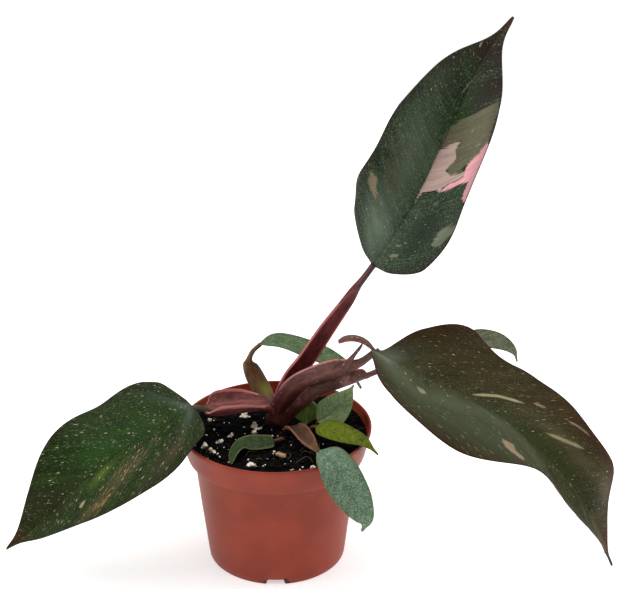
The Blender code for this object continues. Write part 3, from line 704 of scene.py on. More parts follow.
root_look, tree, shader = new_look("cord_root", Roughness=0.7)
spot = node(tree, "TexCoord").outputs["Object"]
wrinkles = noise(tree, spot, 500.0, 4.0)
tree.links.new(blend(tree, wrinkles, srgb(150, 118, 84), srgb(206, 178, 138)),
               shader.inputs["Base Color"])
bump_to(tree, shader, wrinkles, 0.0004, 0.8)
for k in range(1, 6):
    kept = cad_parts[f"root_{k}"]
    kept.data.materials.clear()
    kept.data.materials.append(root_look)

# ---- leaf stalks ----------------------------------------------------------------------------
# Fleshy stalks that open at the foot into a thin channel, wrapped round the stem and the next
# stalk. Wine red to mauve with pink rims; the old ones at the back and front are brown.
mauve = stalk_look("mauve_sheath", (110, 54, 52), (144, 84, 78), (64, 20, 24), (216, 134, 130))
crimson = stalk_look("crimson_sheath", (92, 24, 26), (124, 44, 42), (54, 12, 16), (176, 88, 86))
dull = stalk_look("dull_mauve_sheath", (84, 44, 40), (118, 72, 62), (42, 15, 17), (190, 120, 112),
                  soiled=0.3)
brown = stalk_look("old_brown_sheath", (98, 64, 38), (126, 88, 52), (56, 34, 24), (140, 86, 70),
                   roughness=0.6)
obj = sheath("left_sheath", mm([(-0.5, 12.5, 90), (-6, 10, 97), (-19, 5, 98.5), (-33, 1.5, 98),
                                 (-41, -0.5, 99), (-44.5, -1.2, 100.2)]), [(0, -0.15, 1)] * 2,
             [0.0055, 0.0078, 0.0135, 0.0158, 0.0125, 0.002],
             [0.005, 0.0026, 0.001, 0.0009, 0.0009, 0.0012], [0.2, 1.0, 1.5, 1.7, 1.5, 0.8], mauve,
             rows=170, around=96, ripple=0.06,
             washes=[(0.55, 0.0, 0.25, 0.25, (140, 78, 74), 0.6),
                     (0.14, -0.1, 0.12, 0.6, (74, 14, 24), 0.9),
                     (0.5, 0.45, 0.3, 0.10, (196, 120, 116), 0.7),
                     (0.5, -0.4, 0.3, 0.08, (180, 104, 100), 0.5)])
finish_piece(obj, "stalk", "left_stalk")
obj = sheath("top_sheath", mm([(0.5, 14, 86), (2.5, 15.5, 97), (8.5, 16, 116), (18, 16, 130),
                               (31, 15, 151), (43.5, 13, 169.5), (52.5, 12.2, 182),
                               (60, 12, 193.2)]), [(0.35, -0.9, -0.2)] * 2,
             [0.006, 0.0072, 0.0082, 0.0084, 0.0074, 0.0052, 0.0022, 0.0019],
             [0.005, 0.003, 0.0013, 0.001, 0.001, 0.0012, 0.0021, 0.0019],
             [0.1, 0.7, 1.25, 1.35, 1.3, 1.1, 0.1, 0], crimson, rows=180, around=84,
             washes=[(0.45, 0.75, 0.4, 0.2, (170, 96, 96), 0.85),
                     (0.4, 0.5, 0.4, 0.05, (60, 12, 16), 0.7),
                     (0.93, 0.0, 0.11, 2.0, (46, 30, 30), 0.9)])
finish_piece(obj, "stalk", "top_stalk")
obj = sheath("right_sheath", mm([(1.5, 10, 88), (3.5, 7.5, 98), (14, -1, 115.5), (26.5, -4, 122.5),
                                 (38.5, -5, 127.5), (47.5, -6, 132.5), (54.5, -8, 138.8),
                                 (61.2, -10, 145.6)]), [(-0.2, 0.85, 0.5)] * 2,
             [0.006, 0.0078, 0.0098, 0.0112, 0.0112, 0.0072, 0.0026, 0.0021],
             [0.005, 0.003, 0.0013, 0.001, 0.001, 0.0012, 0.0022, 0.0021],
             [0.1, 0.7, 1.2, 1.5, 1.5, 1.3, 0.3, 0], dull, rows=180, around=84, ripple=0.05,
             washes=[(0.93, 0.0, 0.09, 2.0, (82, 52, 46), 0.8),
                     # Painted highlight: a pale pink strip on the upper side of the channel.
                     (0.45, -0.35, 0.3, 0.12, (150, 104, 92), 0.5),
                     (0.5, 0.12, 0.3, 0.05, (52, 20, 22), 0.7),
                     # Painted shade: a dark wash over the lower visible side of the channel.
                     (0.42, 0.62, 0.35, 0.22, (50, 20, 22), 0.85),
                     (0.17, 0.0, 0.13, 2.0, (76, 18, 26), 0.85)])
finish_piece(obj, "stalk", "right_stalk")
obj = sheath("back_right_sheath", mm([(3, 10, 86), (8.8, 8, 93), (18.5, 1.5, 104), (27, -2, 113),
                                      (38.5, -2, 117.5), (48, -0.5, 120.5), (55, 1.5, 122.4),
                                      (59, 3, 123.6), (80, 8.5, 130), (103.8, 12, 135.8)]),
             [(-0.2, 0.85, 0.5)] * 2,
             [0.004, 0.0052, 0.0066, 0.0078, 0.0084, 0.0078, 0.0062, 0.0018, 0.0016, 0.0015],
             [0.004, 0.0026, 0.0012, 0.001, 0.001, 0.001, 0.001, 0.0018, 0.0016, 0.0015],
             [0, 0.7, 1.2, 1.5, 1.5, 1.5, 1.3, 0, 0, 0], dull, rows=200, around=72, ripple=0.05,
             washes=[(0.1, 0.0, 0.12, 2.0, (70, 20, 26), 0.8),
                     (0.35, 0.8, 0.14, 0.2, (196, 140, 120), 0.6),
                     (0.5, 0.0, 0.03, 2.0, (190, 132, 120), 0.5),
                     (0.38, -0.2, 0.07, 0.7, (58, 28, 28), 0.7)])
finish_piece(obj, "stalk", "back_right_stalk")
obj = sheath("back_left_sheath", mm([(-3.5, 18.5, 90), (-9, 24.5, 97), (-14.5, 29.5, 106),
                                     (-17.2, 30.6, 114), (-17.4, 31, 119.5), (-15, 32, 125),
                                     (-10.2, 32.2, 129.9)]), [(0.1, 1, 0.1)] * 2,
             [0.003, 0.0078, 0.0082, 0.0062, 0.0022, 0.0015, 0.0014],
             [0.003, 0.0012, 0.001, 0.0009, 0.0016, 0.0014, 0.0014],
             [0, 1.2, 1.3, 1.2, 0.3, 0, 0], brown, rows=140, around=72, ripple=0.06,
             washes=[(0.2, 0.5, 0.06, 0.4, (128, 136, 48), 0.8),
                     (0.8, 0.0, 0.14, 2.0, (92, 84, 46), 0.7)])
finish_piece(obj, "brown_stalk", "back_left_stalk")
obj = sheath("front_sheath", mm([(6.2, 6, 84), (12.5, -9, 90.5), (19, -27, 93),
                                 (26.4, -43.4, 95.2)]),
             [(0.1, -0.2, 1)] * 2, [0.0016, 0.0068, 0.0062, 0.0012],
             [0.0016, 0.0009, 0.0009, 0.0012], [0, 1.2, 1.1, 0], brown, rows=110, around=72,
             ripple=0.05, washes=[(0.4, -0.9, 0.4, 0.2, (170, 110, 96), 0.85),
                                  (0.5, 0.1, 0.5, 0.6, (64, 42, 34), 0.75)])
finish_piece(obj, "brown_stalk", "front_stalk")
unbent = [0, 0, 0, 0, 0]
round_radii = [0.0015, 0.0019, 0.002, 0.0021, 0.0018]
petiole = stalk_look("green_petiole", (48, 46, 34), (74, 70, 50), (32, 24, 22), (48, 46, 34))
obj = sheath("left_petiole", mm([(-34, 1, 97.2), (-39, -0.2, 98.4), (-43, -1, 100.2),
                                 (-47, -1.6, 101.8), (-51.6, -2.4, 102.6)]),
             [(0, -0.15, 1)] * 2, round_radii, round_radii, unbent, petiole, rows=70, around=40)
finish_piece(obj, "stalk")
obj = sheath("right_leaf_tongue", mm([(38.6, -10, 152.0), (43.4, -10.4, 153.8),
                                      (49.3, -10.6, 153.9), (55.3, -10.4, 151.4),
                                      (60.8, -10.2, 146.2)]),
             [(0.1, -0.6, 0.9)] * 2, [0.0014, 0.0026, 0.0028, 0.0022, 0.0009],
             [0.0004, 0.0005, 0.0006, 0.0007, 0.0009], [0, 0.9, 1.1, 0.9, 0], dull, rows=90,
             around=48, washes=[(0.4, 0.6, 0.5, 0.4, (120, 98, 84), 0.7)])
finish_piece(obj, "stalk")
obj = sheath("right_tendril", mm([(42, -7.6, 133.5), (45.5, -8.4, 138.5), (48.5, -9.2, 143.2),
                                  (51.4, -10, 147.6), (53.0, -10.4, 150.6)]), [(0, -1, 0.3)] * 2,
             [0.0022, 0.0018, 0.0012, 0.0010, 0.0006], [0.0012, 0.0012, 0.0010, 0.0009, 0.0006],
             unbent, dull, rows=70, around=32)
finish_piece(obj, "stalk")
for name, path, face, radii, nodes in [
        ("yellow_leaf_petiole", [(21, -1, 85.62), (22.8, -4.5, 90), (25.3, -10.6, 94)], (0, -0.3, 1),
         [0.0013, 0.0013, 0.0011], "yellow_leaf_stalk"),
        ("round_leaf_petiole", [(25.6, 5, 84.6), (25.8, 4.8, 87.0), (26.2, 4.5, 89.3)], (0, -1, 0),
         [0.0013, 0.0012, 0.0010], "round_leaf_stalk"),
        ("curled_leaf_petiole", [(4.6, -10, 85.2), (3.4, -14, 87.2), (-0.8, -17.9, 87.9)], (0, 0, 1),
         [0.0011, 0.0011, 0.0009], "curled_leaf_stalk")]:
    obj = sheath(name, mm(path), [face] * 2, radii, radii, unbent[:3], brown, rows=60, around=32)
    finish_piece(obj, "brown_stalk", nodes)

# ---- leaf blades ----------------------------------------------------------------------------
# Leathery blades, a little over half a millimetre thick, with a sunken midrib on top and a
# raised one below. Side veins leave the midrib and sweep towards the tip. Dark green with
# variegation: cream, pink and grey patches that start and end along the veins.


def outline_distance(s, w, corners):
    """Distance from each point to a closed outline, above zero inside it."""
    c = np.asarray(corners, float)
    best = np.full(s.shape, 1e9)
    inside = np.zeros(s.shape, bool)
    for (ax, ay), (bx, by) in zip(c, np.roll(c, -1, 0)):
        ex, ey = bx - ax, by - ay
        f = np.clip(((s - ax) * ex + (w - ay) * ey) / (ex * ex + ey * ey + 1e-12), 0, 1)
        best = np.minimum(best, np.hypot(s - ax - f * ex, w - ay - f * ey))
        inside ^= ((ay > w) != (by > w)) & (s < (bx - ax) * (w - ay) / (by - ay + 1e-12) + ax)
    return np.where(inside, best, -best)


def line_distance(s, w, points, radius):
    """Distance to a broken line, above zero inside its radius, which tapers to both ends."""
    c = np.asarray(points, float)
    best = np.full(s.shape, -1e9)
    n = len(c) - 1
    for i, ((ax, ay), (bx, by)) in enumerate(zip(c, c[1:])):
        ex, ey = bx - ax, by - ay
        f = np.clip(((s - ax) * ex + (w - ay) * ey) / (ex * ex + ey * ey + 1e-12), 0, 1)
        whole = (i + f) / n
        thick = radius * np.clip(4 * np.minimum(whole, 1 - whole) + 0.25, 0, 1)
        best = np.maximum(best, thick - np.hypot(s - ax - f * ex, w - ay - f * ey))
    return best


SWEEP, SWEEP_AT = 0.28, 0.25
CURL_AT = 0.28


def swept(w):
    """How far a side vein has run towards the tip at a distance w from the midrib."""
    return SWEEP * (np.abs(w) / SWEEP_AT) ** 1.3


def vein_spot(q, w, at_s, at_w, long, broad):
    """Soft spot round a place (s, w) of a leaf, stretched along its side veins."""
    q0 = at_s - swept(at_w)
    return np.exp(-((q - q0) / long) ** 2 - ((w - at_w) / broad) ** 2)


def both(grid):
    """The grid of a leaf's top face, followed by its mirror image for the underside."""
    return np.concatenate([grid, grid[:, ::-1]], axis=1)


def leaf(name, midrib, face, left, right, fold, curl, look, rows=210, cols=121, thick=0.0006,
         rib=0.0013, quilt=0.0002, veins=17, washes=(), patches=(), streaks=(), flecked=(), seed=1):
    """A leaf blade as one closed skin, top and underside joined round the margin.

    With t along and v across from -1 to 1, the margin gives a station m_s and a half width m_w;
    s = t^1.15 + (m_s - t^1.15) |v|^1.6 and w = m_w |v|. Each half leaves the midrib at the
    fold angle f and bends up by the curl c: sideways = w cos(f + c) sinc(c), upwards =
    w sin(f + c) sinc(c), where c is half the given curl times w / 0.28. The surface waves along
    q = s - 0.28 (w / 0.25)^1.3, which is constant along a side vein. Washes are soft spots
    (s, w, along q, along w, colour, strength), patches are outlines and streaks are tapering
    lines, both with a colour.
    """
    t = np.linspace(0, 1, rows)
    u = np.linspace(-1, 1, cols)
    v = np.sign(u) * np.abs(u) ** 1.35
    length = np.linalg.norm(np.diff(smooth_line(midrib, np.linspace(0, 1, 60)), axis=0),
                            axis=1).sum()
    points, s_of, w_of = np.zeros((rows, cols, 3)), np.zeros((rows, cols)), np.zeros((rows, cols))
    along = t**1.15
    for sign, reach in ((1, 0), (-1, 1)):
        pick = v >= 0 if sign > 0 else v < 0
        a = np.abs(v[pick])[None]
        margin = smooth_line((left, right)[reach], t)
        s = np.clip(along[:, None] + (margin[:, :1] - along[:, None]) * a**1.6, 0, 1)
        w = margin[:, 1:] * a * length
        base, _, up, side = directions(midrib, face, s)
        f = np.radians(smooth_line(fold[reach], s))
        half = np.radians(smooth_line(curl[reach], s)) / (CURL_AT * length) * w / 2
        sideways = w * np.cos(f + half) * np.sinc(half / np.pi)
        upwards = w * np.sin(f + half) * np.sinc(half / np.pi)
        points[:, pick] = base + sign * sideways[..., None] * side + upwards[..., None] * up
        s_of[:, pick], w_of[:, pick] = s, sign * w / length
    q_of = s_of - swept(w_of)
    normal = unit(np.cross(np.gradient(points, axis=1), np.gradient(points, axis=0)))
    middle = directions(midrib, face, along)[2][:, None]
    normal *= np.sign((normal * middle).sum(-1, keepdims=True))
    width = (smooth_line(left, t)[:, 1] + smooth_line(right, t)[:, 1]) / 2 * length
    share = np.clip((width - 0.0012) / 0.004, 0, 1)[:, None, None]
    normal = unit(normal * share + middle * (1 - share))
    away = np.abs(w_of) * length
    inner = smoothstep(0.0, 0.004, away) * (1 - smoothstep(0.80, 1.0, np.abs(v))[None])
    wave = np.sin(2 * np.pi * (veins * q_of + 0.25 * lumps(q_of, w_of, 0.13, seed)))
    wave = np.sign(wave) * np.abs(wave) ** 0.8 * (0.6 + 0.4 * lumps(q_of, w_of, 0.21, seed + 1))
    swell = lumps(q_of, np.abs(w_of), 0.16, seed + 2) * 1.5
    points = points + normal * ((wave + swell) * quilt * inner)[..., None]
    taper = (1 - 0.75 * along)[:, None]
    hollow = 0.0002 * np.exp(-(away / (rib * 0.8 * taper)) ** 2) * (1 - along[:, None]) ** 0.5
    ridge = rib * taper * 0.9 * np.exp(-(away / (rib * taper)) ** 2)
    rim = np.sqrt(np.clip(1 - np.clip((np.abs(v)[None] - 0.965) / 0.035, 0, 1) ** 2, 0, 1))
    body = thick / 2 * (0.15 + 0.85 * rim)
    ends = np.clip(np.minimum(t / 0.01, 1), 0.2, 1)[:, None]
    top = points + normal * (body - hollow)[..., None]
    low = points - normal * (body + ridge * ends)[..., None]
    shell = np.concatenate([top, low[:, ::-1]], axis=1)
    # Washes hold the leaf's own soft tints and, on the top, left and right leaves, painted sheen and
    # painted highlights.
    wash, spread = np.zeros(s_of.shape + (3,)), np.zeros(s_of.shape)
    for at_s, at_w, long, broad, colour, strength in washes:
        spot = strength * vein_spot(q_of, w_of, at_s, at_w, long, broad)
        wash, spread = lay_wash(wash, spread, spot, colour)
    flecks = np.zeros(s_of.shape)
    for at_s, at_w, long, broad, strength in flecked:
        flecks = np.maximum(flecks, strength * vein_spot(q_of, w_of, at_s, at_w, long, broad))
    layers = {}
    for key, marks in (("patch", patches), ("streak", streaks)):
        field, paint = np.full(s_of.shape, -1.0), np.zeros(s_of.shape + (3,))
        for colour, corners, *radius in marks:
            near = (line_distance(s_of, w_of, corners, radius[0]) if radius
                    else outline_distance(s_of, w_of, corners))
            paint[near > field] = srgb(*colour)[:3]
            field = np.maximum(field, near)
        layers[key] = (field, paint)
    uv = np.stack([both(q_of), both(w_of)], -1)
    under = np.concatenate([np.zeros((rows, cols)), np.ones((rows, cols))], axis=1)
    obj = sheet_mesh(name, shell, [look], wrap=True, uv=uv, fields={
        "edge": both(np.abs(v)[None] + 0 * s_of), "under": under, "along": both(s_of),
        "rib": both(np.exp(-(away / (rib * taper * 0.9)) ** 2)), "flecks": both(flecks),
        "wash_share": both(spread),
        "patch": both(layers["patch"][0]), "streak": both(layers["streak"][0])},
        colors={"wash": both(wash), "patch_color": both(layers["patch"][1]),
                "streak_color": both(layers["streak"][1])})
    return close_ends(obj)


def build_blade(tree, ports):
    """Skin of a leaf: fine veins along the side-vein direction, mottle, and pale specks.

    The first vein coordinate is constant along a side vein and the second runs along it.
    """
    vein = noise(tree, ports["Veins"], (95.0, 5.0, 0.0), 3.0, 0.55)
    hair = noise(tree, ports["Veins"], (420.0, 12.0, 0.0), 2.0)
    broad = noise(tree, ports["Veins"], (15.0, 9.0, 0.0), 5.0, 0.65)
    pore = noise(tree, ports["Place"], 1100.0, 3.0, 0.7)
    tone = blend(tree, ease(tree, broad, 0.32, 0.68), ports["Dark"], ports["Light"])
    tone = blend(tree, ease_share(tree, vein, 0.52, 0.70, ports["Lines"]), tone, ports["Vein"])
    tone = blend(tree, ease_share(tree, hair, 0.5, 0.75, 0.4), tone, ports["Dark"])
    tone = blend(tree, ease_share(tree, pore, 0.5, 0.66, 0.75), tone, ports["Vein"])
    tone = blend(tree, ease_share(tree, pore, 0.5, 0.36, 0.7), tone, ports["Dark"])
    fine = calc(tree, "MULTIPLY_ADD", hair, -0.25, calc(tree, "MULTIPLY", pore, 0.25))
    height = calc(tree, "MULTIPLY_ADD", vein, -0.6, fine)
    jag = calc(tree, "SUBTRACT", calc(tree, "MULTIPLY_ADD", hair, 0.6, vein), 0.8)
    return {"Color": tone, "Height": height, "Jag": jag, "Mottle": broad}


blade_skin = shader_group("leaf_skin", {"Veins": "vector", "Place": "vector", "Dark": "color",
                                        "Light": "color", "Vein": "color", "Lines": "value"},
                          {"Color": "color", "Height": "value", "Jag": "value",
                           "Mottle": "value"}, build_blade)


def leaf_look(name, dark, light, vein, margin, rib, under, speck=(196, 186, 152), speck_share=0.06,
              speck_size=0.2, jag=0.03, roughness=0.4, rib_share=0.35, wash_mottle=0.35,
              speck_cells=(85.0, 60.0, 0.0), gloss=0.15, dashes=0.14, vein_share=0.2, glow=0.4):
    """Material of a leaf: vein skin, washes, patches, streaks, specks, margin and midrib."""
    look, tree, shader = new_look(name, Specular_IOR_Level=gloss)
    place = node(tree, "TexCoord").outputs["Object"]
    veins = node(tree, "UVMap", uv_map="veins").outputs[0]

    def field(key):
        """Mask kept on the leaf's points."""
        return node(tree, "Attribute", attribute_name=key).outputs["Fac"]

    def paint(key):
        """Colour kept on the leaf's points."""
        return node(tree, "Attribute", attribute_name=key).outputs["Color"]

    made = use_group(tree, blade_skin, {"Veins": veins, "Place": place, "Dark": srgb(*dark),
                                        "Light": srgb(*light), "Vein": srgb(*vein),
                                        "Lines": vein_share})
    jags = made.outputs["Jag"]
    tone = made.outputs["Color"]
    # The wash carries the leaf's own tints and, on some leaves, painted sheen and painted
    # highlights.
    uneven = calc(tree, "MULTIPLY_ADD", calc(tree, "SUBTRACT", made.outputs["Mottle"], 0.5),
                  wash_mottle * 3, 1.0)
    uneven = calc(tree, "MULTIPLY", field("wash_share"), uneven, clamp=True)
    tone = blend(tree, uneven, tone, paint("wash"))
    for key, reach in (("patch", jag), ("streak", jag * 0.45)):
        shape = calc(tree, "MULTIPLY_ADD", jags, reach, field(key))
        mask = ease(tree, shape, -0.0015, 0.0025)
        grained = blend(tree, ease_share(tree, jags, -0.1, 0.25, 0.35), paint(key + "_color"),
                        made.outputs["Color"])
        tone = blend(tree, calc(tree, "MULTIPLY", mask, 0.95), tone, grained)
    cells = use_group(tree, dust, {"Place": veins, "Cells": speck_cells,
                                   "Share": speck_share, "Size": speck_size})
    tone = blend(tree, calc(tree, "MULTIPLY", cells.outputs[0], 0.8), tone, srgb(*speck))
    marks = use_group(tree, dust, {"Place": veins, "Cells": (260.0, 70.0, 0.0), "Share": dashes,
                                   "Size": 0.3})
    tone = blend(tree, calc(tree, "MULTIPLY", marks.outputs[0], 0.5), tone, srgb(*speck))
    strokes = use_group(tree, dust, {"Place": veins, "Cells": (170.0, 30.0, 0.0), "Share": 0.6,
                                     "Size": 0.42})
    warm = blend(tree, ease(tree, made.outputs["Mottle"], 0.45, 0.55), srgb(190, 148, 56),
                 srgb(176, 136, 112))
    tone = blend(tree, calc(tree, "MULTIPLY", strokes.outputs[0], field("flecks")), tone, warm)
    tone = blend(tree, ease_share(tree, field("edge"), 0.72, 1.02, glow), tone, srgb(*margin))
    tone = blend(tree, calc(tree, "MULTIPLY", field("rib"), rib_share), tone, srgb(*rib))
    tone = blend(tree, ease_share(tree, field("edge"), 0.975, 0.995, 0.85), tone, srgb(*margin))
    below = blend(tree, calc(tree, "MULTIPLY", field("rib"), 0.8), blend(
        tree, 0.65, made.outputs["Color"], srgb(*under)), srgb(*rib))
    tone = blend(tree, field("under"), tone, below)
    tree.links.new(tone, shader.inputs["Base Color"])
    dull_spots = calc(tree, "MULTIPLY_ADD", made.outputs["Mottle"], 0.16, roughness - 0.08)
    tree.links.new(dull_spots, shader.inputs["Roughness"])
    bump_to(tree, shader, made.outputs["Height"], 0.0006, 0.8)
    return look


top_green = leaf_look("top_leaf_green", (10, 24, 8), (42, 62, 34), (100, 122, 92), (34, 18, 14),
                      (60, 62, 50), (92, 96, 70), speck_share=0.14, dashes=0.3, vein_share=0.35)
top_margin = [(0, 0.012), (0.022, 0.07), (0.09, 0.147), (0.16, 0.183), (0.34, 0.225),
              (0.55, 0.217), (0.75, 0.134), (0.90, 0.03), (1, 0.004)]
obj = leaf("top_blade", mm([(60, 12, 193), (78, 8, 224), (92, 4, 257), (104, 4, 286), (118, 8, 317),
                            (138, 20, 344)]),
           [(-0.1, -1, 0.25), (-0.15, -1, 0.3), (-0.3, -1, 0.2)], top_margin, top_margin,
           ([-17, 30, -3], [24, 44, 3]), ([2, -12, 14, 0, 5, 0], [0, 0, 8, 10, 0, 0]),
           top_green, seed=3, veins=15,
           # Painted sheen: a lighter grey-green over the left half.
           washes=[(0.45, 0.09, 0.28, 0.08, (90, 102, 82), 0.65),
                   (0.62, -0.02, 0.10, 0.03, (42, 76, 24), 0.8),
                   # Painted sheen: lighter green along the left side of the midrib.
                   (0.45, 0.02, 0.10, 0.03, (88, 112, 80), 0.6),
                   # Painted sheen: a pale grey-green near the base of the left half.
                   (0.13, 0.07, 0.12, 0.08, (112, 126, 108), 0.7),
                   (0.86, 0.0, 0.10, 0.3, (38, 24, 18), 0.9),
                   (0.99, 0.0, 0.07, 0.3, (72, 30, 26), 0.9),
                   (0.76, -0.08, 0.10, 0.08, (34, 24, 16), 0.9),
                   (0.78, 0.10, 0.14, 0.09, (34, 34, 18), 0.75),
                   (0.22, -0.09, 0.12, 0.07, (12, 26, 10), 0.8),
                   (0.34, 0.12, 0.03, 0.05, (84, 62, 42), 0.6)],
           patches=[((104, 100, 78), [(.519, .006), (.539, .012), (.58, .004), (.627, -.034),
                                    (.672, -.076), (.71, -.105), (.745, -.128), (.72, -.15),
                                    (.66, -.169), (.62, -.186), (.573, -.181), (.516, -.158),
                                    (.46, -.126), (.444, -.108), (.443, -.074), (.475, -.086),
                                    (.502, -.097), (.523, -.074), (.565, -.082), (.549, -.051),
                                    (.517, -.029), (.48, 0)]),
                    ((200, 170, 160), [(.277, 0), (.32, .002), (.37, -.002), (.428, .004),
                                       (.487, .002), (.517, -.029), (.549, -.051), (.565, -.082),
                                       (.523, -.074), (.502, -.097), (.475, -.086), (.443, -.074),
                                       (.444, -.108), (.487, -.165), (.462, -.16), (.423, -.119),
                                       (.394, -.099), (.367, -.09), (.351, -.055),
                                       (.322, -.018)]),
                    ((246, 176, 184), [(.367, -.09), (.394, -.099), (.423, -.119), (.462, -.16),
                                       (.487, -.165), (.516, -.158), (.573, -.181), (.62, -.186),
                                       (.60, -.21), (.539, -.225), (.501, -.23), (.466, -.232),
                                       (.414, -.232), (.41, -.206), (.473, -.2), (.436, -.16),
                                       (.406, -.135), (.384, -.116)]),
                    ((118, 128, 104), [(.212, -.147), (.245, -.149), (.28, -.164), (.34, -.225),
                                     (.315, -.235), (.276, -.202), (.227, -.183), (.206, -.158)]),
                    ((138, 124, 98), [(.338, .194), (.316, .159), (.268, .137), (.21, .118),
                                      (.238, .148), (.278, .177)]),
                    ((84, 96, 76), [(.314, -.077), (.342, -.092), (.334, -.103), (.314, -.088)])],
           streaks=[((120, 110, 88), [(.703, .014), (.744, .003), (.762, -.003)], 0.003),
                    ((176, 140, 124), [(.857, .035), (.886, .038)], 0.003),
                    ((124, 124, 98), [(.065, -.030), (.082, -.044), (.092, -.057)], 0.006),
                    ((130, 120, 96), [(.578, -.149), (.59, -.158), (.603, -.159)], 0.004),
                    ((190, 180, 130), [(.791, .089), (.795, .092)], 0.004)])
finish_piece(obj, "leaf", "top_leaf")

left_green = leaf_look("left_leaf_green", (8, 22, 2), (36, 56, 12), (62, 86, 34), (32, 24, 12),
                       (32, 50, 12), (86, 92, 54), speck_share=0.34, speck_size=0.28,
                       dashes=0.5, vein_share=0.12, gloss=0.1)
left_margin = [(0, 0.012), (0.012, 0.098), (0.066, 0.229), (0.16, 0.249), (0.34, 0.293),
               (0.55, 0.246), (0.75, 0.129), (0.90, 0.038), (1, 0.004)]
obj = leaf("left_blade", mm([(-50.8, -2.1, 102.6), (-68, -10, 97), (-97, -20, 80), (-124, -25, 58),
                             (-149, -28, 33), (-169, -30, 17)]),
           [(-0.1, -0.3, 1), (-0.3, -0.5, 1), (-0.4, -0.5, 0.8)], left_margin, left_margin,
           ([25, 10, 37], [-10, 19, 32]), ([0, -15, 0, 5, -4, 0], [-4, -3, -28, 14, 3, 0]),
           left_green, seed=13, veins=16,
           washes=[(0.477, 0.036, 0.05, 0.03, (84, 106, 26), 0.75),
                   (0.25, 0.2, 0.07, 0.06, (66, 54, 34), 0.7),
                   (0.42, 0.13, 0.07, 0.06, (88, 78, 54), 0.6),
                   (0.55, 0.19, 0.07, 0.05, (84, 70, 34), 0.65),
                   (0.93, 0.0, 0.10, 0.2, (60, 36, 20), 0.85),
                   (0.42, -0.06, 0.2, 0.07, (28, 66, 8), 0.6),
                   (0.72, -0.06, 0.12, 0.12, (38, 32, 12), 0.75),
                   # Painted highlight: pale grey over the base of the blade.
                   (0.03, 0.0, 0.04, 0.14, (78, 86, 78), 0.7)],
           flecked=[(0.40, 0.12, 0.06, 0.07, 0.9), (0.53, 0.20, 0.06, 0.05, 1.0),
                    (0.27, 0.06, 0.05, 0.04, 0.6)],
           streaks=[((150, 142, 104), [(.575, .104), (.592, .118), (.60, .124)], 0.010),
                    ((120, 112, 74), [(.787, .004), (.84, .013), (.893, .022)], 0.002)])
finish_piece(obj, "leaf", "left_leaf")

right_green = leaf_look("right_leaf_olive", (24, 24, 8), (56, 54, 26), (84, 80, 54), (56, 22, 14),
                        (84, 86, 64), (104, 92, 70), rib_share=0.2, speck_share=0.14, glow=0.3,
                        jag=0.008, vein_share=0.25, gloss=0.06, dashes=0.25,
                        roughness=0.6)
stations = [0, 0.021, 0.066, 0.16, 0.34, 0.55, 0.75, 0.90, 1]
back_half = [0.010, 0.02, 0.130, 0.250, 0.245, 0.150, 0.133, 0.012, 0.004]
front_half = [0.010, 0.060, 0.112, 0.205, 0.295, 0.140, 0.133, 0.029, 0.004]
obj = leaf("right_blade", mm([(61, -10, 146), (92, -38, 140), (125, -58, 132), (156, -68, 109),
                              (180, -70, 80), (195, -70, 53), (203, -70, 32)]),
           [(0.1, -0.3, 1), (0.1, -0.4, 1), (0.6, -0.5, 0.6)],
           list(zip(stations, back_half)), list(zip(stations, front_half)),
           ([36, -7, 2, 29, -8, -6], [39, 17, 53, 3, 28, 6]),
           ([38, -1, -21, 13, 12, 0], [0, 18, -56, 100, 33, 10]),
           right_green, rows=240, seed=23, veins=17,
           # Partly the front half's own grey-green, partly painted sheen: a lighter grey-green over
           # the front half.
           washes=[(0.25, -0.10, 0.28, 0.09, (80, 88, 68), 0.8),
                   (0.5, 0.015, 0.16, 0.03, (40, 52, 12), 0.8),
                   # Partly the pale base of the blade, partly painted sheen on the front half near
                   # the base.
                   (0.04, -0.02, 0.05, 0.06, (118, 126, 106), 0.85),
                   (0.2, 0.14, 0.16, 0.08, (52, 44, 22), 0.7),
                   (0.55, 0.07, 0.14, 0.03, (92, 88, 64), 0.5),
                   (0.6, 0.15, 0.3, 0.05, (72, 50, 32), 0.6),
                   (0.92, 0, 0.12, 0.2, (66, 32, 12), 0.85),
                   (0.32, -0.20, 0.3, 0.09, (58, 64, 44), 0.8),
                   (0.72, 0.10, 0.08, 0.04, (100, 88, 70), 0.5)],
           patches=[((148, 126, 102), [(.386, -.176), (.40, -.20), (.425, -.204), (.444, -.206),
                                        (.44, -.19), (.42, -.185), (.412, -.168)]),
                    ((138, 130, 104), [(.165, -.066), (.186, -.064), (.20, -.078), (.196, -.094),
                                        (.186, -.088), (.176, -.078)])],
           streaks=[((148, 142, 108), [(.279, .022), (.334, .065), (.402, .095)], 0.006),
                    ((132, 124, 92), [(.421, .116), (.452, .123)], 0.004),
                    ((146, 136, 104), [(.484, .054), (.533, .073), (.58, .095)], 0.005),
                    ((128, 118, 92), [(.283, -.24), (.296, -.255)], 0.003),
                    ((140, 126, 110), [(.507, .124), (.54, .13), (.571, .132)], 0.003)])
finish_piece(obj, "leaf", "right_leaf")

# ---- small leaves ---------------------------------------------------------------------------
# Younger and older leaves low in the pot: a dark one behind, a spade-shaped blue-green one, a
# yellowing one, one hanging over the rim, one curled on the mix and a rolled new leaf.


def ovate(width):
    """Margin of a small leaf: broadest near a third of its length, drawn out at the tip."""
    return [(0, 0.02), (0.03, 0.35 * width), (0.09, 0.68 * width), (0.18, 0.92 * width),
            (0.36, width), (0.57, 0.82 * width), (0.76, 0.46 * width), (0.90, 0.15 * width),
            (1, 0.012)]


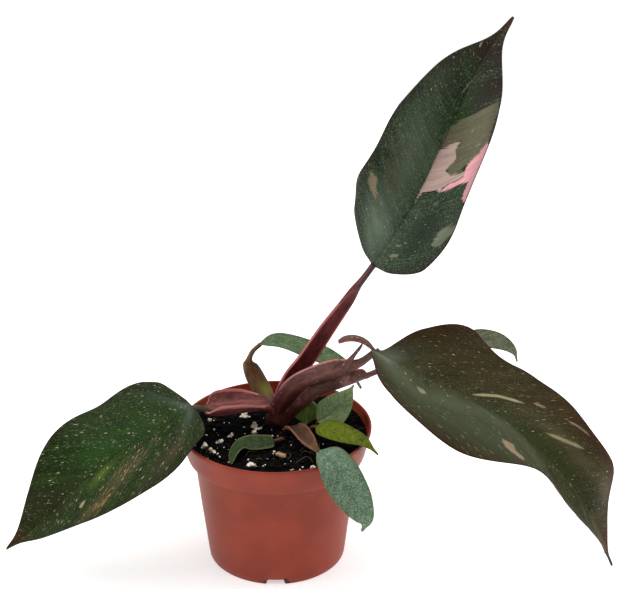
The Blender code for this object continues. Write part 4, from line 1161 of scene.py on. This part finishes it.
even, plain = ([8, 8, 8], [8, 8, 8]), ([0, 0, 0], [0, 0, 0])
small = dict(rows=120, cols=61, thick=0.0005, rib=0.0007, quilt=0.00012, veins=11)
deep_green = leaf_look("deep_green", (50, 70, 42), (92, 114, 76), (118, 138, 98), (48, 40, 30),
                       (50, 52, 36), (86, 92, 66), speck_share=0.1)
obj = leaf("back_left_blade", mm([(-10.3, 32.2, 130), (2.3, 34, 130.2), (18, 34, 125), (34, 32, 119),
                                  (46, 30, 112.5), (54, 27, 101)]),
           [(0, 0.1, 1), (0.1, -0.1, 1), (0.5, -0.4, 0.8)], ovate(0.165), ovate(0.165), even,
           plain, deep_green, seed=31, **small)
finish_piece(obj, "small_leaf", "back_left_leaf")
pale_olive = leaf_look("pale_olive", (64, 72, 52), (104, 110, 84), (124, 128, 104), (44, 34, 28),
                       (80, 78, 58), (96, 94, 70), speck_share=0.06)
obj = leaf("back_right_blade", mm([(103.5, 12, 135.7), (116, 13, 139.5), (128, 12.5, 142.5),
                                   (139, 9.5, 142), (147, 7, 137.5), (149.5, 5.5, 131)]),
           [(0, -0.4, 1), (0.1, -0.5, 1), (0.7, -0.5, 0.4)], ovate(0.15), ovate(0.15), even, plain,
           pale_olive, seed=32, **small)
finish_piece(obj, "small_leaf", "back_right_leaf")
grey_green = leaf_look("grey_green", (70, 98, 74), (114, 140, 114), (160, 178, 152), (84, 96, 68),
                       (84, 98, 68), (100, 110, 78), speck_share=0.35, speck_size=0.26,
                       dashes=0.4, vein_share=0.2, speck_cells=(50.0, 40.0, 0.0))
tapered = [(0, 0.02), (0.03, 0.04), (0.09, 0.09), (0.18, 0.142), (0.36, 0.182), (0.57, 0.155),
           (0.76, 0.088), (0.90, 0.028), (1, 0.012)]
obj = leaf("front_blade", mm([(26.2, -43.3, 95.05), (34.5, -55, 95.3), (42, -64, 85.5),
                              (49.5, -68, 74), (54.6, -68, 62.5), (52.6, -66, 53.5)]),
           [(0.1, -0.6, 0.8), (0.2, -1, 0.5), (0.2, -1, 0.4)], tapered, tapered,
           ([15, 12, 8], [15, 12, 8]), plain, grey_green, seed=33, **small)
finish_piece(obj, "small_leaf", "front_leaf")
yellow_green = leaf_look("yellow_green", (66, 92, 10), (126, 136, 22), (146, 150, 50),
                         (70, 64, 20), (112, 120, 40), (104, 110, 36), speck=(30, 24, 10),
                         speck_share=0.3, speck_size=0.42, dashes=0.05,
                         speck_cells=(24.0, 18.0, 0.0))
obj = leaf("yellow_blade", mm([(25.5, -11.2, 94.2), (34, -17.5, 94.8), (44, -23.5, 94.3),
                               (54.5, -28, 92.8), (63, -30.5, 85.5)]),
           [(0, -0.4, 1), (0, -0.25, 1), (0.2, -0.5, 1)], ovate(0.19), ovate(0.19),
           ([14, 10, 5], [14, 10, 5]), plain, yellow_green, seed=34, **small)
finish_piece(obj, "yellow_leaf", "yellow_leaf")
blue_green = leaf_look("blue_green", (112, 140, 86), (158, 184, 128), (190, 206, 170),
                       (136, 150, 96), (76, 96, 56), (92, 106, 70), speck_share=0.2,
                       speck=(170, 176, 146))
obj = leaf("round_blade", mm([(26.3, 4.4, 89.5), (34.5, 6.5, 94), (43, 9.5, 102.5), (49, 13, 111)]),
           [(-0.35, -1, 0.45)] * 2, ovate(0.31), ovate(0.31), even, plain, blue_green, seed=35,
           **small)
finish_piece(obj, "small_leaf", "round_leaf")
fresh_green = leaf_look("fresh_green", (28, 44, 18), (56, 78, 36), (80, 100, 54), (150, 148, 92),
                        (70, 82, 42), (76, 88, 48), speck_share=0.12)
blunt = [(0, 0.05), (0.02, 0.095), (0.08, 0.115), (0.25, 0.13), (0.5, 0.125), (0.75, 0.09),
         (0.92, 0.045), (1, 0.012)]
obj = leaf("curled_blade", mm([(-1, -18, 88), (-9, -21, 89), (-17, -23, 89.6), (-22, -27, 89.6),
                               (-25, -34, 88.2), (-26, -43, 86)]),
           [(0, -0.7, 1), (-0.4, -0.6, 1), (-0.5, -0.2, 1)], blunt, blunt, plain, plain,
           fresh_green, seed=36, **small)
finish_piece(obj, "small_leaf", "curled_leaf")
rolled_look = stalk_look("rolled_leaf_green", (84, 112, 40), (116, 142, 64), (54, 76, 28),
                         (136, 150, 84), soiled=0.1)
obj = sheath("rolled_new_leaf", mm([(18, 10, 84.9), (18.6, 11.5, 90.5), (19.8, 13.5, 96),
                                    (20.8, 14.6, 100)]),
             [(0.1, -0.9, 0.3)] * 2, [0.0018, 0.0085, 0.0080, 0.0015],
             [0.0018, 0.0008, 0.0008, 0.0012], [0, 0.9, 0.8, 0], rolled_look, rows=90, around=72)
finish_piece(obj, "small_leaf", "rolled_leaf")
